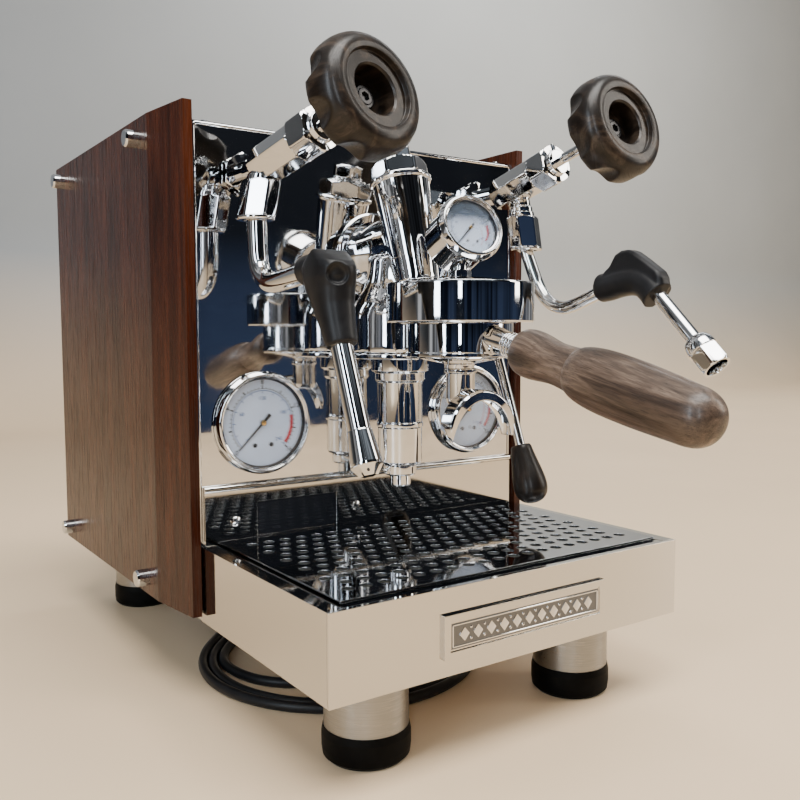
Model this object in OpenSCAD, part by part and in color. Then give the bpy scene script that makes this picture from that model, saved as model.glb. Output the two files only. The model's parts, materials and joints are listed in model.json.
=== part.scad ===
// Espresso machine with an E61 style brew group, walnut side panels and a heat-exchanger boiler.
// Millimetres. Origin: on the surface the feet stand on, on the centre line, below the front of
// the fascia. +X is the machine's right as its user faces it, -Y points at the user, +Z is up.

/* [Case] */
// Width of the polished fascia
fascia_w = 271; // [260:1:290]
// Height of the top edge of the fascia above the feet
fascia_top = 380; // [360:1:400]
// Height of the underside of the case above the feet
case_floor = 55; // [48:1:62]
// Depth of the case behind the fascia
case_depth = 281; // [270:1:300]
// Thickness of the walnut side panels
panel_t = 12.5; // [10:0.5:14]
// How far the side panels rise above the fascia
panel_rise = 11; // [0:1:20]

/* [Drip tray] */
// How far the tray housing stands out in front of the fascia
tray_depth = 167.5; // [150:0.5:180]
// Height of the tray housing's top edge
tray_top = 105; // [95:1:112]
// Diameter of the holes in the grate
grate_hole_d = 7.6; // [6:0.2:9]
// Distance between neighbouring holes in the grate
grate_pitch = 12; // [11:0.5:15]

/* [Feet] */
// Diameter of the steel foot sleeves
foot_d = 50; // [40:1:54]
// Height of the rubber pads
pad_h = 19; // [12:1:24]

/* [Brew group] */
// Distance of the brew head's axis in front of the fascia
bell_y = -103; // [-106:1:-100]
// Outer diameter of the brew head
bell_d = 93.6; // [90:0.2:98]
// Height of the lower edge of the brew head
bell_bottom = 251; // [248:1:254]
// Angle of the lowered brew lever below the horizontal
lever_down = 69; // [55:1:75]

/* [Portafilter] */
// Length of the walnut handle
handle_l = 138; // [120:1:150]
// Angle of the handle below the horizontal
handle_drop = 14; // [8:1:18]
// Distance between the two outlets of the spout
spout_span = 46; // [36:1:52]

/* [Valves] */
// Diameter of the walnut valve knobs
knob_d = 70; // [60:1:74]
// Upward tilt of the valve stems
valve_tilt = 14.5; // [5:0.5:25]
// Distance from the steam valve's nut to the face of its knob
steam_reach = 60; // [54:1:70]
// Distance from the water valve's nut to the face of its knob
water_reach = 75; // [60:1:80]

/* [Gauges] */
// Diameter of the bezels of the two fascia gauges
panel_gauge_d = 69.6; // [60:0.2:72]
// Diameter of the bezel of the gauge on the brew group
group_gauge_d = 44; // [38:1:46]

/* [Hidden] */

steel = "silver";
chrome = "gainsboro";
walnut = "saddlebrown";
black = "dimgray";
brass = "goldenrod";
big = 400;
sheet = 1.5;
clear = 0.3;
half_w = fascia_w / 2;
panel_inner = half_w + 1;
panel_outer = panel_inner + panel_t;
rear_y = case_depth;
deck_z = fascia_top - 8.7;
upright_x = half_w - 8;
divider_y = 192;
boiler_rear = 178;
boiler_z = 268;
// Water tank: half width, front, rear, underside, rim
tank = [95, 201, 262, 66, 366];
$fn = 64;

// Feet: front pair under the tray housing, rear pair under the case
front_foot = [83.5, -121];
rear_foot = [93, 244];

// Fascia gauges
gauge_x = 89.4;
gauge_z = 184.3;

// Brew group
cam_axis = [-46, 244];
chamber_y = -36;
cam_bottom = 231;
cam_r = 33;
tube_top = [-38, 346];
tube_tilt = 16;
tube_len = 72;
shaft_r = 6;
bore_gap = 0.05;
pf_r = 34;
lip_r = pf_r + 0.5;
chamber_r = 37.5;
ear_r = 36.8;

// Lever: the shaft leaves the group along +X, turns down, and carries the grip
lever_x = 77;
lever_bend = 16;
lever_rod_l = 70;
lever_rod_r = 3.4;

// Valves: nut centres, pan of the axes, and how far back the outlets sit
steam_nut = [-95, -84.5, 360.6];
water_nut = [95, -83.5, 360.6];
steam_pan = 9.5;
steam_outlet = [-105, -38, 341];
water_outlet = [105, -46, 333];
outlet_lean = 10.5;
nut_l = 27;
valve_back = 3;
feed_gap = 0.35;
switch_at = [85, rear_y + sheet, 95];
switch_throw = 8;
ball_r = 8.5;
ball_drop = 21;
steam_ball = steam_outlet + ball_drop * [-sin(outlet_lean), 0, -cos(outlet_lean)];
water_ball = water_outlet + ball_drop * [sin(outlet_lean), 0, -cos(outlet_lean)];
steam_tube_r = 6.2;
water_tube_r = 4.8;

// Route of the steam wand in its own plane, from the ball to the tip
steam_route = [[0, -6], [-1, -26], [-4, -36], [-12, -43], [-24, -45], [-58, -42], [-70, -40],
               [-79, -41], [-86, -47.5], [-91, -58], [-119, -128]];
// Route of the water wand in its own plane, from the ball to the nozzle
water_route = [[-1, -6.5], [-11, -27], [-18, -38], [-27, -46], [-38, -49.5], [-50, -48.5],
               [-76, -40], [-94, -33.5], [-104, -32], [-114, -35], [-122, -42], [-155, -75]];

// Group gauge: centre of its face, tilted up towards the user
group_gauge = [0, -115.5, 310.6];
gauge_tilt = 21;
gauge_pan = -9;

// Mains cord, from the gland under the case to the coil that lies under the machine
cord_d = 7;
cord_z = cord_d / 2;
gland = [-40, 205, 36];
coil_centre = [-18, 18];
coil_r_in = 85;
coil_r_out = 107.2;
coil_h = 7.4;
lead_route = [[-40, 205, 36], [-40, 204, 28], [-40, 200, 19], [-40, 193, 11], [-41, 183, 6],
              [-43, 172, 4], [-47, 156, 3.6], [-54, 140, 3.6], [-63, 125, 3.6], [-74, 111, 3.6],
              [-87, 96, 3.6], [-98, 82, 3.6]];
tail_route = [[-101, 38, 3.6], [-99, 18, 3.6], [-90, -2, 3.6], [-74, -17, 3.6], [-54, -24, 3.6],
              [-34, -23, 3.8], [-18, -16, 5.5], [-6, -8, 8.5], [4, -1, 10.5]];
plug_at = [4, -1, 10.5];
plug_turn = 35;

// ---------- helpers ----------

module slab(x0, x1, y0, y1, z0, z1) {
    translate([x0, y0, z0]) cube([x1 - x0, y1 - y0, z1 - z0]);
}

module hex(af, h) {
    cylinder(d = af / cos(30), h = h, $fn = 6);
}

// Straight round bar between two points
module bar(a, b, r) {
    d = b - a;
    l = norm(d);
    translate(a)
        rotate([0, acos(d[2] / l), atan2(d[1], d[0])])
            cylinder(r = r, h = l, $fn = 32);
}

// Mean of two points, and a smooth run through a list of points
function mid(a, b, t) = a + (b - a) * t;
function bezier(p, t) = let (a = mid(p[0], p[1], t), b = mid(p[1], p[2], t), c = mid(p[2], p[3], t))
    mid(mid(a, b, t), mid(b, c, t), t);
function catmull(p, i, t) =
    let (n = len(p) - 1, a = p[max(i - 1, 0)], b = p[i], c = p[i + 1], d = p[min(i + 2, n)])
    0.5 * (2 * b + (c - a) * t + (2 * a - 5 * b + 4 * c - d) * t * t
           + (3 * b - a - 3 * c + d) * t * t * t);
function smooth(p, steps) = concat(
    [for (i = [0 : len(p) - 2]) for (k = [0 : steps - 1]) catmull(p, i, k / steps)],
    [p[len(p) - 1]]);

// Closed tube swept along a route: one ring of points at each stop, flat caps
function unit(v) = v / norm(v);
function side_of(t) = abs(t[2]) > 0.9 ? unit(cross(t, [1, 0, 0])) : unit(cross(t, [0, 0, 1]));
function ring_at(p, t, r, n) =
    let (s = side_of(t), u = cross(s, t))
    [for (k = [0 : n - 1]) p + r * (cos(360 * k / n) * s + sin(360 * k / n) * u)];
module swept_tube(route, r, n) {
    last = len(route) - 1;
    rings = [for (i = [0 : last])
        ring_at(route[i], unit(route[min(i + 1, last)] - route[max(i - 1, 0)]), r, n)];
    points = [for (ring = rings) for (p = ring) p];
    walls = [for (i = [0 : last - 1]) for (k = [0 : n - 1])
        let (a = i * n + k, b = i * n + (k + 1) % n) [a, b, b + n, a + n]];
    start_cap = [[for (k = [n - 1 : -1 : 0]) k]];
    end_cap = [[for (k = [0 : n - 1]) last * n + k]];
    polyhedron(points, concat(start_cap, walls, end_cap));
}

// Round bar bent smoothly through a list of points
module bent_bar(points, r) {
    swept_tube(smooth(points, 3), r, 12);
}

// Frame of a valve: local +Z runs along the stem towards the user. Its tail meets the fascia
// behind the rear end of the body, valve_rear.
function valve_rear(nut, pan) =
    nut - 47 * [cos(valve_tilt) * sin(pan), -cos(valve_tilt) * cos(pan), sin(valve_tilt)];
module valve_frame(nut, pan) {
    translate(nut) rotate([0, 0, pan]) rotate([90 - valve_tilt, 0, 0]) children();
}

// Frame of a ball joint: local -Z runs down the nut, which leans outwards
module outlet_frame(outlet, side) {
    translate(outlet) rotate([0, -side * outlet_lean, 0]) children();
}

// Frame of a fascia gauge and of the group gauge: local +Z is the way the dial faces
module panel_gauge_frame(side) {
    translate([side * gauge_x, 0, gauge_z]) rotate([90, 0, 0]) children();
}
module group_gauge_frame() {
    translate(group_gauge) rotate([0, 0, gauge_pan]) rotate([90 - gauge_tilt, 0, 0]) children();
}

// ---------- case ----------

module chassis() {
    color(black) {
        difference() {
            slab(-half_w + 2, half_w - 2, sheet, rear_y, case_floor, case_floor + 20);
            slab(-half_w + 4, half_w - 4, sheet + 2.5, rear_y - 2.5, case_floor + 2, case_floor + 21);
            translate([gland[0], gland[1], case_floor - 1]) cylinder(r = 8, h = 4);
        }
        for (side = [-1, 1]) {
            slab(side * upright_x - 5, side * upright_x + 5, 16, 18, case_floor + 2, deck_z);
            slab(side * 75 - 8, side * 75 + 8, tank[1] + 2, tank[2] - 2, case_floor + 2, tank[3]);
        }
        slab(-upright_x, upright_x, divider_y, divider_y + 2, case_floor + 2, fascia_top - 60);
        slab(-25, 25, boiler_rear, divider_y + 1, boiler_z - 10, boiler_z + 10);
    }
}

module fascia_holes() {
    for (side = [-1, 1])
        translate([side * gauge_x, 5, gauge_z]) rotate([90, 0, 0]) cylinder(r = 30.5, h = 10);
    translate([-18, -5, 272]) cube([36, 20, 56]);
    for (rear = [valve_rear(steam_nut, steam_pan), valve_rear(water_nut, 0)])
        translate([rear[0], 5, rear[2]]) rotate([90, 0, 0]) cylinder(r = 7.3, h = 10);
}

module fascia() {
    color(chrome) difference() {
        slab(-half_w, half_w, 0, 14, case_floor + 1, fascia_top);
        slab(-half_w + sheet, half_w - sheet, sheet, 15, case_floor + 1 + sheet, fascia_top - sheet);
        slab(-half_w + sheet, half_w - sheet, sheet, 15, case_floor, case_floor + 20);
        fascia_holes();
    }
}

module rear_panel() {
    color(steel) difference() {
        slab(-half_w + 1, half_w - 1, rear_y, rear_y + sheet, case_floor, deck_z);
        for (row = [0 : 7])
            slab(-60, 60, rear_y - 1, rear_y + 3, 250 + row * 11, 254 + row * 11);
        slab(switch_at[0] - 15.3, switch_at[0] + 15.3, rear_y - 1, rear_y + 3,
             switch_at[2] - 11.3, switch_at[2] + 11.3);
    }
}

tank_open = [100, 196, 266];
module cup_tray() {
    color(steel) difference() {
        union() {
            slab(-half_w + 1, half_w - 1, 14.3, rear_y + sheet, deck_z, fascia_top - 7);
            slab(-half_w + 1, half_w - 1, 14.3, 16, fascia_top - 8, fascia_top - 1);
            slab(-half_w + 1, half_w - 1, rear_y, rear_y + sheet, fascia_top - 8, fascia_top - 1);
            for (side = [-1, 1])
                slab(side * (half_w - 1.75) - 0.75, side * (half_w - 1.75) + 0.75, 14.3, rear_y + sheet,
                     fascia_top - 8, fascia_top - 1);
        }
        slab(-tank_open[0], tank_open[0], tank_open[1], tank_open[2], fascia_top - 20, fascia_top);
        for (col = [-3 : 3]) for (row = [0 : 3])
            translate([col * 32, 40 + row * 38, fascia_top - 20]) {
                slab(-11, 11, -2, 2, 0, 20);
                for (end = [-11, 11]) translate([end, 0, 0]) cylinder(r = 2, h = 20);
            }
    }
}

// Walnut side panel: the front 48 mm are bevelled towards the fascia
module side_panel(side) {
    bevel = 6.3;
    color(walnut)
        translate([0, 0, case_floor + 4.8])
            linear_extrude(height = fascia_top + panel_rise - case_floor - 4.8)
                polygon([[side * panel_inner, -5], [side * (panel_outer - bevel), -5],
                         [side * panel_outer, 43.5], [side * panel_outer, rear_y + 7],
                         [side * panel_inner, rear_y + 7]]);
}

module dome_screw(r, h) {
    rotate_extrude() polygon([[0, 0], [r, 0], [r, h * 0.35], [r * 0.8, h * 0.75], [r * 0.4, h], [0, h]]);
}

// Studs that hold the side panels, with the spacers behind them, and the small dome screws
stud_y = [64.5, 266];
stud_z = [72.2, 377.4];
splash_screws = [-111, -17];
module case_fasteners() {
    color(chrome) {
        for (side = [-1, 1]) for (y = stud_y) for (z = stud_z)
            translate([side * panel_outer, y, z]) rotate([0, side * 90, 0])
                rotate_extrude() polygon([[0, 0], [6, 0], [6, 7.6], [5.2, 9], [0, 9]]);
        for (side = [-1, 1]) for (y = stud_y) {
            translate([side * (half_w - 2), y, stud_z[0]]) rotate([0, side * 90, 0]) cylinder(r = 2.5, h = 3);
            translate([side * (half_w - 1), y, stud_z[1]]) rotate([0, side * 90, 0]) cylinder(r = 1.4, h = 2);
        }
        for (x = splash_screws) translate([x, -3, 119.5]) rotate([90, 0, 0]) dome_screw(3.4, 3);
        for (side = [-1, 1]) translate([side * 124, 7, fascia_top]) dome_screw(3.6, 2.4);
        for (x = [-110, 110]) translate([x, rear_y + sheet, 350]) rotate([-90, 0, 0]) dome_screw(3.6, 2.4);
    }
}

splash_top = 144.5;
window = [-95, -33, 108, 131];
module backsplash() {
    color(steel) difference() {
        union() {
            slab(-half_w + 3, half_w - 3, -3, 0, tray_top, splash_top - 2);
            translate([-half_w + 3, -2.2, splash_top - 2.2]) rotate([0, 90, 0]) cylinder(r = 2.2, h = fascia_w - 6);
        }
        slab(window[0], window[1], -4, -1.2, window[2], window[3]);
        slab(-big, big, 0, 10, 0, big);
    }
}

// ---------- drip tray drawer and its housing ----------

rail_top = tray_top - sheet;
basin_w = 123.5;
grate_w = 123;
module tray_housing() {
    front = -tray_depth + 2;
    color(steel) {
        slab(-half_w + 0.5, half_w - 0.5, front, 0, case_floor, case_floor + sheet);
        for (side = [-1, 1]) {
            slab(side * (half_w - 1.25) - 0.75, side * (half_w - 1.25) + 0.75, front, 0, case_floor, tray_top);
            slab(side * (half_w - 5.5) - 5, side * (half_w - 5.5) + 5, front, 0, rail_top, tray_top);
        }
    }
}

module tray_front() {
    color(steel) {
        slab(-half_w + 0.5, half_w - 0.5, -tray_depth, -tray_depth + 1.7, case_floor, tray_top);
        slab(-grate_w - 1, grate_w + 1, -tray_depth, -tray_depth + 7, rail_top, tray_top);
    }
}

badge = [63.3, 65.2, 90.2];
module badge_plate() {
    color("lightgray") difference() {
        slab(-badge[0], badge[0], -tray_depth - 2.4, -tray_depth, badge[1], badge[2]);
        slab(-badge[0] + 4, badge[0] - 4, -tray_depth - 3, -tray_depth - 1.6, badge[1] + 4, badge[2] - 4);
    }
}

module drip_tray() {
    color(steel) difference() {
        slab(-basin_w, basin_w, -tray_depth + 1.7, -4, case_floor + 3, tray_top - 3);
        slab(-basin_w + sheet, basin_w - sheet, -tray_depth + 3.2, -4 - sheet, case_floor + 3 + sheet, tray_top);
    }
}

grate_top = 107;
grate_front = -159;
grate_rear = -3.5;
module drip_grate() {
    rows = 11;
    cols = 19;
    color(steel) difference() {
        slab(-grate_w, grate_w, grate_front, grate_rear, tray_top - 3, grate_top);
        slab(-grate_w + 1.2, grate_w - 1.2, grate_front + 1.2, grate_rear - 1.2, 0, grate_top - 1.2);
        for (row = [0 : rows - 1]) for (col = [0 : cols - 1 - row % 2])
            translate([(col - (cols - 1) / 2 + (row % 2) / 2) * grate_pitch,
                       grate_front + 17 + row * grate_pitch, 0])
                cylinder(d = grate_hole_d, h = big, $fn = 20);
    }
}

module at_feet() {
    for (side = [-1, 1]) {
        translate([side * front_foot[0], front_foot[1], 0]) children();
        translate([side * rear_foot[0], rear_foot[1], 0]) children();
    }
}

module foot_sleeves() {
    color(steel) at_feet()
        translate([0, 0, pad_h]) cylinder(d = foot_d, h = case_floor - pad_h);
}

module foot_pads() {
    r = foot_d / 2;
    color(black) at_feet() rotate_extrude()
        polygon([[0, 0], [r - 2, 0], [r + 0.6, 2.5], [r + 1.2, 7], [r + 1.2, 15], [r + 0.4, pad_h], [0, pad_h]]);
}

// ---------- brew group ----------

module bell_outline() {
    r = bell_d / 2;
    polygon([[0, bell_bottom], [r - 0.8, bell_bottom], [r, bell_bottom + 0.8], [r, bell_bottom + 21],
             [r - 0.9, bell_bottom + 23], [r - 3, bell_bottom + 24.2], [18, bell_bottom + 28],
             [0, bell_bottom + 28]]);
}

// The one-piece casting: brew head, cam box, front tube and the neck to the fascia
module group_body() {
    color(chrome) difference() {
        union() {
            translate([0, bell_y, 0]) rotate_extrude($fn = 96) bell_outline();
            translate([0, chamber_y, cam_bottom]) cylinder(r = cam_r, h = 30);
            translate([0, chamber_y, cam_bottom + 30]) cylinder(r1 = cam_r, r2 = 19, h = 34);
            translate([0, chamber_y, cam_bottom - 4]) cylinder(r = cam_r + 1.5, h = 4);
            hull() {
                slab(-22, 22, bell_y + 26, bell_y + 40, bell_bottom + 4, bell_bottom + 23);
                slab(-26, 26, chamber_y - 4, chamber_y, cam_bottom + 4, bell_bottom + 23);
            }
            translate([0, tube_top[0], tube_top[1]]) rotate([-tube_tilt, 0, 0]) {
                translate([0, 0, -tube_len]) cylinder(r1 = 15.8, r2 = 23, h = tube_len);
                translate([0, 0, -1]) cylinder(r = 25, h = 3.5);
            }
            hull() {
                translate([0, -3.2, 300]) rotate([90, 0, 0]) cylinder(r = 25, h = 3, $fn = 32);
                translate([0, -44, 318]) rotate([-tube_tilt, 0, 0]) cylinder(r = 16, h = 10, center = true, $fn = 32);
                translate([0, -38, 284]) cylinder(r = 17, h = 6, center = true, $fn = 32);
            }
            translate([0, 0, 300]) rotate([90, 0, 0]) cylinder(r = 31, h = 5.2);
            translate([26, cam_axis[0], cam_axis[1]]) rotate([0, 90, 0]) cylinder(r = 11, h = 17);
        }
        translate([0, bell_y, bell_bottom - 1]) cylinder(r = lip_r, h = 7, $fn = 96);
        translate([0, bell_y, bell_bottom + 5.4]) cylinder(r = chamber_r, h = 14, $fn = 96);
        for (turn = [0, 180]) translate([0, bell_y, 0]) rotate([0, 0, turn - 60])
            slab(-13, 13, 20, chamber_r - 0.6, bell_bottom - 1, bell_bottom + 7);
        translate([-18, cam_axis[0], cam_axis[1]]) rotate([0, 90, 0]) cylinder(r = shaft_r + bore_gap, h = 80);
        translate([0, chamber_y, cam_bottom - 20]) cylinder(r = 11, h = 30);
        translate([0, bell_y, cam_bottom - 5]) cylinder(r = pf_r + 1.4, h = bell_bottom - cam_bottom + 5, $fn = 96);
    }
}

module group_caps() {
    color(chrome) translate([0, tube_top[0], tube_top[1]]) rotate([-tube_tilt, 0, 0]) {
        translate([0, 0, 2.5]) difference() {
            hex(40, 12);
            translate([0, 0, 10.5]) cylinder(r = 11.5, h = 3);
        }
        translate([0, 0, 13]) {
            cylinder(r = 11, h = 3);
            translate([0, 0, 3]) hex(20, 8);
            translate([0, 0, 11]) cylinder(r1 = 8.5, r2 = 4, h = 2.5);
        }
    }
}

module group_gasket() {
    color(black) translate([0, bell_y, pf_top + 1.5]) difference() {
        cylinder(r = chamber_r - clear, h = bell_bottom + 19.4 - pf_top - 1.5);
        translate([0, 0, -1]) cylinder(r = 29.5, h = 20);
    }
}

module shower_screen() {
    color(steel) translate([0, bell_y, bell_bottom + 11]) difference() {
        union() {
            cylinder(r1 = 25, r2 = 27.6, h = 3);
            translate([0, 0, 3]) cylinder(r = 29, h = 5.4);
        }
        for (ring = [1 : 3]) for (k = [0 : 6 * ring - 1])
            rotate([0, 0, 60 * k / ring]) translate([7 * ring, 0, -1]) cylinder(r = 0.9, h = 3, $fn = 6);
    }
}

// Pre-infusion chamber, its retaining nut and the drain tip below it
module preinfusion_chamber() {
    color(chrome) translate([0, chamber_y, 0]) rotate_extrude()
        polygon([[0, 137.5], [6.6, 137.5], [7.4, 138.4], [7.4, 145], [10.4, 145], [11.6, 146.2],
                 [11.6, 152], [10.6, 152.4], [10.6, 153], [14.6, 153], [15.4, 154], [15.4, 178.6],
                 [16.2, 179.6], [16.2, 182], [15.7, 183], [15.7, 210], [17.2, 211.5], [17.2, 217],
                 [20, 219], [20, cam_bottom - 4], [10.8, cam_bottom - 4], [10.8, cam_bottom + 6],
                 [0, cam_bottom + 6]]);
}

// ---------- brew lever ----------

module lever_cam() {
    color(chrome) translate([0, cam_axis[0], cam_axis[1]]) rotate([0, 90, 0]) {
        difference() {
            translate([0, 0, -16]) cylinder(r = shaft_r, h = 60);
            translate([-12, -8, 8]) cube([8, 16, 12]);
        }
        translate([0, 0, 43.4]) cylinder(r = 10, h = 8);
        translate([0, 0, 51.4]) cylinder(r1 = 10, r2 = 5.5, h = 4);
    }
}

// Lever parts are drawn with the arm along -Y and turned down about the shaft
module lever_frame() {
    translate([0, cam_axis[0], cam_axis[1]]) rotate([lever_down, 0, 0]) children();
}

module lever_rod() {
    straight = lever_x - lever_bend - 55.4;
    color(chrome) lever_frame() {
        translate([55.4, 0, 0]) rotate([0, 90, 0]) cylinder(r = lever_rod_r, h = straight);
        translate([lever_x - lever_bend, -lever_bend, 0])
            rotate_extrude(angle = 90) translate([lever_bend, 0]) circle(r = lever_rod_r);
        translate([lever_x, -lever_bend, 0]) rotate([90, 0, 0]) cylinder(r = lever_rod_r, h = lever_rod_l);
    }
}

function lever_grip_outline() = concat([[0, 0], [6.4, 0], [7.4, 1]],
    [for (t = [0.15 : 0.15 : 0.9]) bezier([[7.4, 1], [9, 14], [12.2, 24], [11.2, 31]], t)],
    [for (t = [0 : 0.2 : 1]) bezier([[11.2, 31], [10.6, 37], [6.5, 41], [0, 41]], t)]);
module lever_grip() {
    color(walnut) lever_frame()
        translate([lever_x, -lever_bend - lever_rod_l, 0]) rotate([90, 0, 0])
            rotate_extrude() polygon(lever_grip_outline());
}

// ---------- gauges ----------

// Bezel and case: r is the bezel's radius, deep the length of the case behind the face
module gauge_case(r, deep, case_r) {
    dial = r - 4.4;
    rotate_extrude() polygon([[0, -deep], [case_r - 1.5, -deep], [case_r, 1.5 - deep], [case_r, 0], [r, 0],
        [r, 3], [r - 1.2, 6], [r - 2.8, 7.4], [r - 4.2, 7], [dial, 5.4], [dial, 1], [0, 1]]);
}

module panel_gauge_cases() {
    color(chrome) for (side = [-1, 1]) panel_gauge_frame(side) gauge_case(panel_gauge_d / 2, 24, 30);
}

module group_gauge_case() {
    color(chrome) {
        group_gauge_frame() translate([0, 0, -5.5]) gauge_case(group_gauge_d / 2, 23, 20);
        translate([0, bell_y, bell_bottom + 28]) cylinder(r = 4.5, h = 12);
        translate([0, bell_y, bell_bottom + 28]) hex(13, 4);
    }
}

module at_dials() {
    for (side = [-1, 1]) panel_gauge_frame(side) translate([0, 0, 1]) children(0);
    group_gauge_frame() translate([0, 0, -4.5]) children(1);
}

module gauge_dials() {
    color("white") at_dials() {
        cylinder(r = panel_gauge_d / 2 - 4.5, h = 0.8);
        cylinder(r = group_gauge_d / 2 - 4.5, h = 0.8);
    }
}

module gauge_lenses() {
    color("lightblue") at_dials() {
        translate([0, 0, 3.4]) cylinder(r = panel_gauge_d / 2 - 4.5, h = 1);
        translate([0, 0, 3.4]) cylinder(r = group_gauge_d / 2 - 4.5, h = 1);
    }
}

// Needle pointing at zero, down and to the left of the dial, with a hub and a counterweight
module needle(l) {
    translate([0, 0, 0.9]) {
        cylinder(r = l * 0.08, h = 1.8);
        rotate([0, 0, 225]) linear_extrude(height = 0.9)
            polygon([[-0.3 * l, -0.05 * l], [0, -0.03 * l], [l, -0.01 * l], [l, 0.01 * l], [0, 0.03 * l],
                     [-0.3 * l, 0.05 * l]]);
    }
}

module left_needle() {
    color("black") panel_gauge_frame(-1) translate([0, 0, 1]) needle(25);
}

module right_needle() {
    color("black") panel_gauge_frame(1) translate([0, 0, 1]) needle(25);
}

module group_needle() {
    color("black") group_gauge_frame() translate([0, 0, -4.5]) needle(14);
}

// ---------- portafilter ----------

pf_top = bell_bottom + 10.6;
pf_bottom = 229;
handle_at = [0, -161, 234.4];
module handle_frame() {
    translate(handle_at) rotate([90 + handle_drop, 0, 0]) children();
}

module portafilter_body() {
    color(chrome) {
        difference() {
            union() {
                translate([0, bell_y, 0]) rotate_extrude($fn = 96)
                    polygon([[0, 222], [9.6, 222], [9.6, 226], [24, pf_bottom], [pf_r, pf_bottom],
                             [pf_r + 0.4, pf_bottom + 1], [pf_r + 0.4, pf_bottom + 3], [pf_r, pf_bottom + 4],
                             [pf_r, pf_top], [0, pf_top]]);
                for (turn = [0, 180]) translate([0, bell_y, bell_bottom + 6]) rotate([0, 0, turn])
                    intersection() {
                        cylinder(r = ear_r, h = 4.2);
                        slab(-11, 11, 20, ear_r + 1, 0, 4.2);
                    }
                handle_frame() translate([0, 0, -40]) cylinder(r1 = 10, r2 = 7, h = 30);
                handle_frame() translate([0, 0, -12]) {
                    cylinder(r = 6.6, h = 12);
                    for (k = [0 : 3]) translate([0, 0, 2.4 * k + 2]) cylinder(r = 7.8, h = 1.4);
                }
            }
            translate([0, bell_y, pf_bottom + 5]) cylinder(r = 30.6, h = 40, $fn = 96);
            translate([0, bell_y, 200]) cylinder(r = 4.5, h = 40);
        }
    }
}

module filter_basket() {
    color(steel) translate([0, bell_y, 0]) rotate_extrude($fn = 96)
        polygon([[0, 236.5], [26, 236.5], [28.6, 239], [29.8, pf_top], [33, pf_top], [33, pf_top + 1.2],
                 [29, pf_top + 1.2], [27.8, 239.8], [25.6, 237.5], [0, 237.5]]);
}

// Half outline of the handle: ferrule end, waist, step and palm swell, as radius and distance
function handle_outline() = let (l = handle_l) concat(
    [[0, 0], [9.5, 0]],
    [for (t = [0.2 : 0.2 : 1]) bezier([[9.5, 0], [12.6, 0.2], [13.8, 4], [13.8, 9]], t)],
    [for (t = [0.2 : 0.2 : 1]) bezier([[13.8, 9], [13.8, 17], [11.6, 24], [11.6, 31]], t)],
    [for (t = [0.25 : 0.25 : 1]) bezier([[11.6, 31], [11.6, 38], [12.4, 43], [13.2, 46]], t)],
    [for (t = [0.2 : 0.2 : 1]) bezier([[13.6, 46.6], [15.6, 50], [16.8, 60], [16.8, 74]], t)],
    [for (t = [0.2 : 0.2 : 1]) bezier([[16.8, 74], [16.8, 95], [15.4, 108], [14.6, l - 16]], t)],
    [for (t = [0.15 : 0.17 : 1]) bezier([[14.6, l - 16], [13.8, l - 5], [8, l], [0, l]], t)]);
module portafilter_handle() {
    color(walnut) handle_frame() rotate_extrude() polygon(concat(handle_outline(), [[0, handle_l]]));
}

// Double spout: a threaded neck, a bridge forward and a crescent with two outlets
module spout() {
    arc_r = spout_span / 2 + 3.5;
    color(chrome) {
        translate([0, bell_y - 1, 200]) difference() {
            cylinder(r = 9, h = 22);
            translate([0, 0, 14]) cylinder(r = 6, h = 8);
        }
        hull() {
            translate([0, bell_y - 1, 200]) cylinder(r = 8, h = 6, $fn = 32);
            translate([0, bell_y - 18, 200]) cylinder(r = 5, h = 7, $fn = 32);
        }
        translate([0, bell_y - 13, 0]) rotate([90, 0, 0]) linear_extrude(height = 11) difference() {
            translate([0, 182.5]) circle(r = arc_r);
            translate([0, 179]) circle(r = arc_r - 5);
            translate([-50, 80]) square([100, 101]);
        }
    }
}

// ---------- steam and water valves ----------

// A flat under the outlet leaves room for the ball nut
module valve_body(nut, pan, outlet, side) {
    rear = valve_rear(nut, pan);
    color(chrome) difference() {
        union() {
            valve_frame(nut, pan) {
                translate([0, 0, -52]) difference() {
                    hex(22, 44);
                    translate([0, 0, -1]) cylinder(r = 4, h = 46);
                }
                translate([0, 0, -8.2]) difference() {
                    rotate([0, 0, 30]) hex(26, 16.2);
                    translate([0, 0, -1]) cylinder(r = 4.2, h = 18.4);
                }
                translate([0, 0, 7.8]) difference() {
                    cylinder(r1 = 9, r2 = 7, h = 4.2);
                    translate([0, 0, -1]) cylinder(r = 4.2, h = 6);
                }
            }
            bar([rear[0], valve_back, rear[2]], rear, 7);
            translate([rear[0], 0, rear[2]]) rotate([90, 0, 0]) hex(24, 6);
            outlet_frame(outlet, side) {
                cylinder(r = 7.4, h = 12);
                translate([0, 0, -2]) cylinder(r = 9, h = 2.5);
            }
        }
        outlet_frame(outlet, side) translate([0, 0, -14]) cylinder(r = 13.5, h = 12);
    }
}

module valve_bodies() {
    valve_body(steam_nut, steam_pan, steam_outlet, -1);
    valve_body(water_nut, 0, water_outlet, 1);
}

// The nut's lip is narrower than the ball, and wide enough for the wand to tilt
module ball_nut() {
    difference() {
        union() {
            translate([0, 0, -nut_l + 2]) hex(21.5, nut_l - 4);
            translate([0, 0, -nut_l]) cylinder(r = 12, h = 3);
        }
        translate([0, 0, -nut_l + 2]) cylinder(r = ball_r + 0.8, h = nut_l - 7.5);
        translate([0, 0, -nut_l - 1]) cylinder(r = ball_r - 0.3, h = 4);
    }
}

module ball_nuts() {
    color(chrome) {
        outlet_frame(steam_outlet, -1) ball_nut();
        outlet_frame(water_outlet, 1) ball_nut();
    }
}

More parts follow.
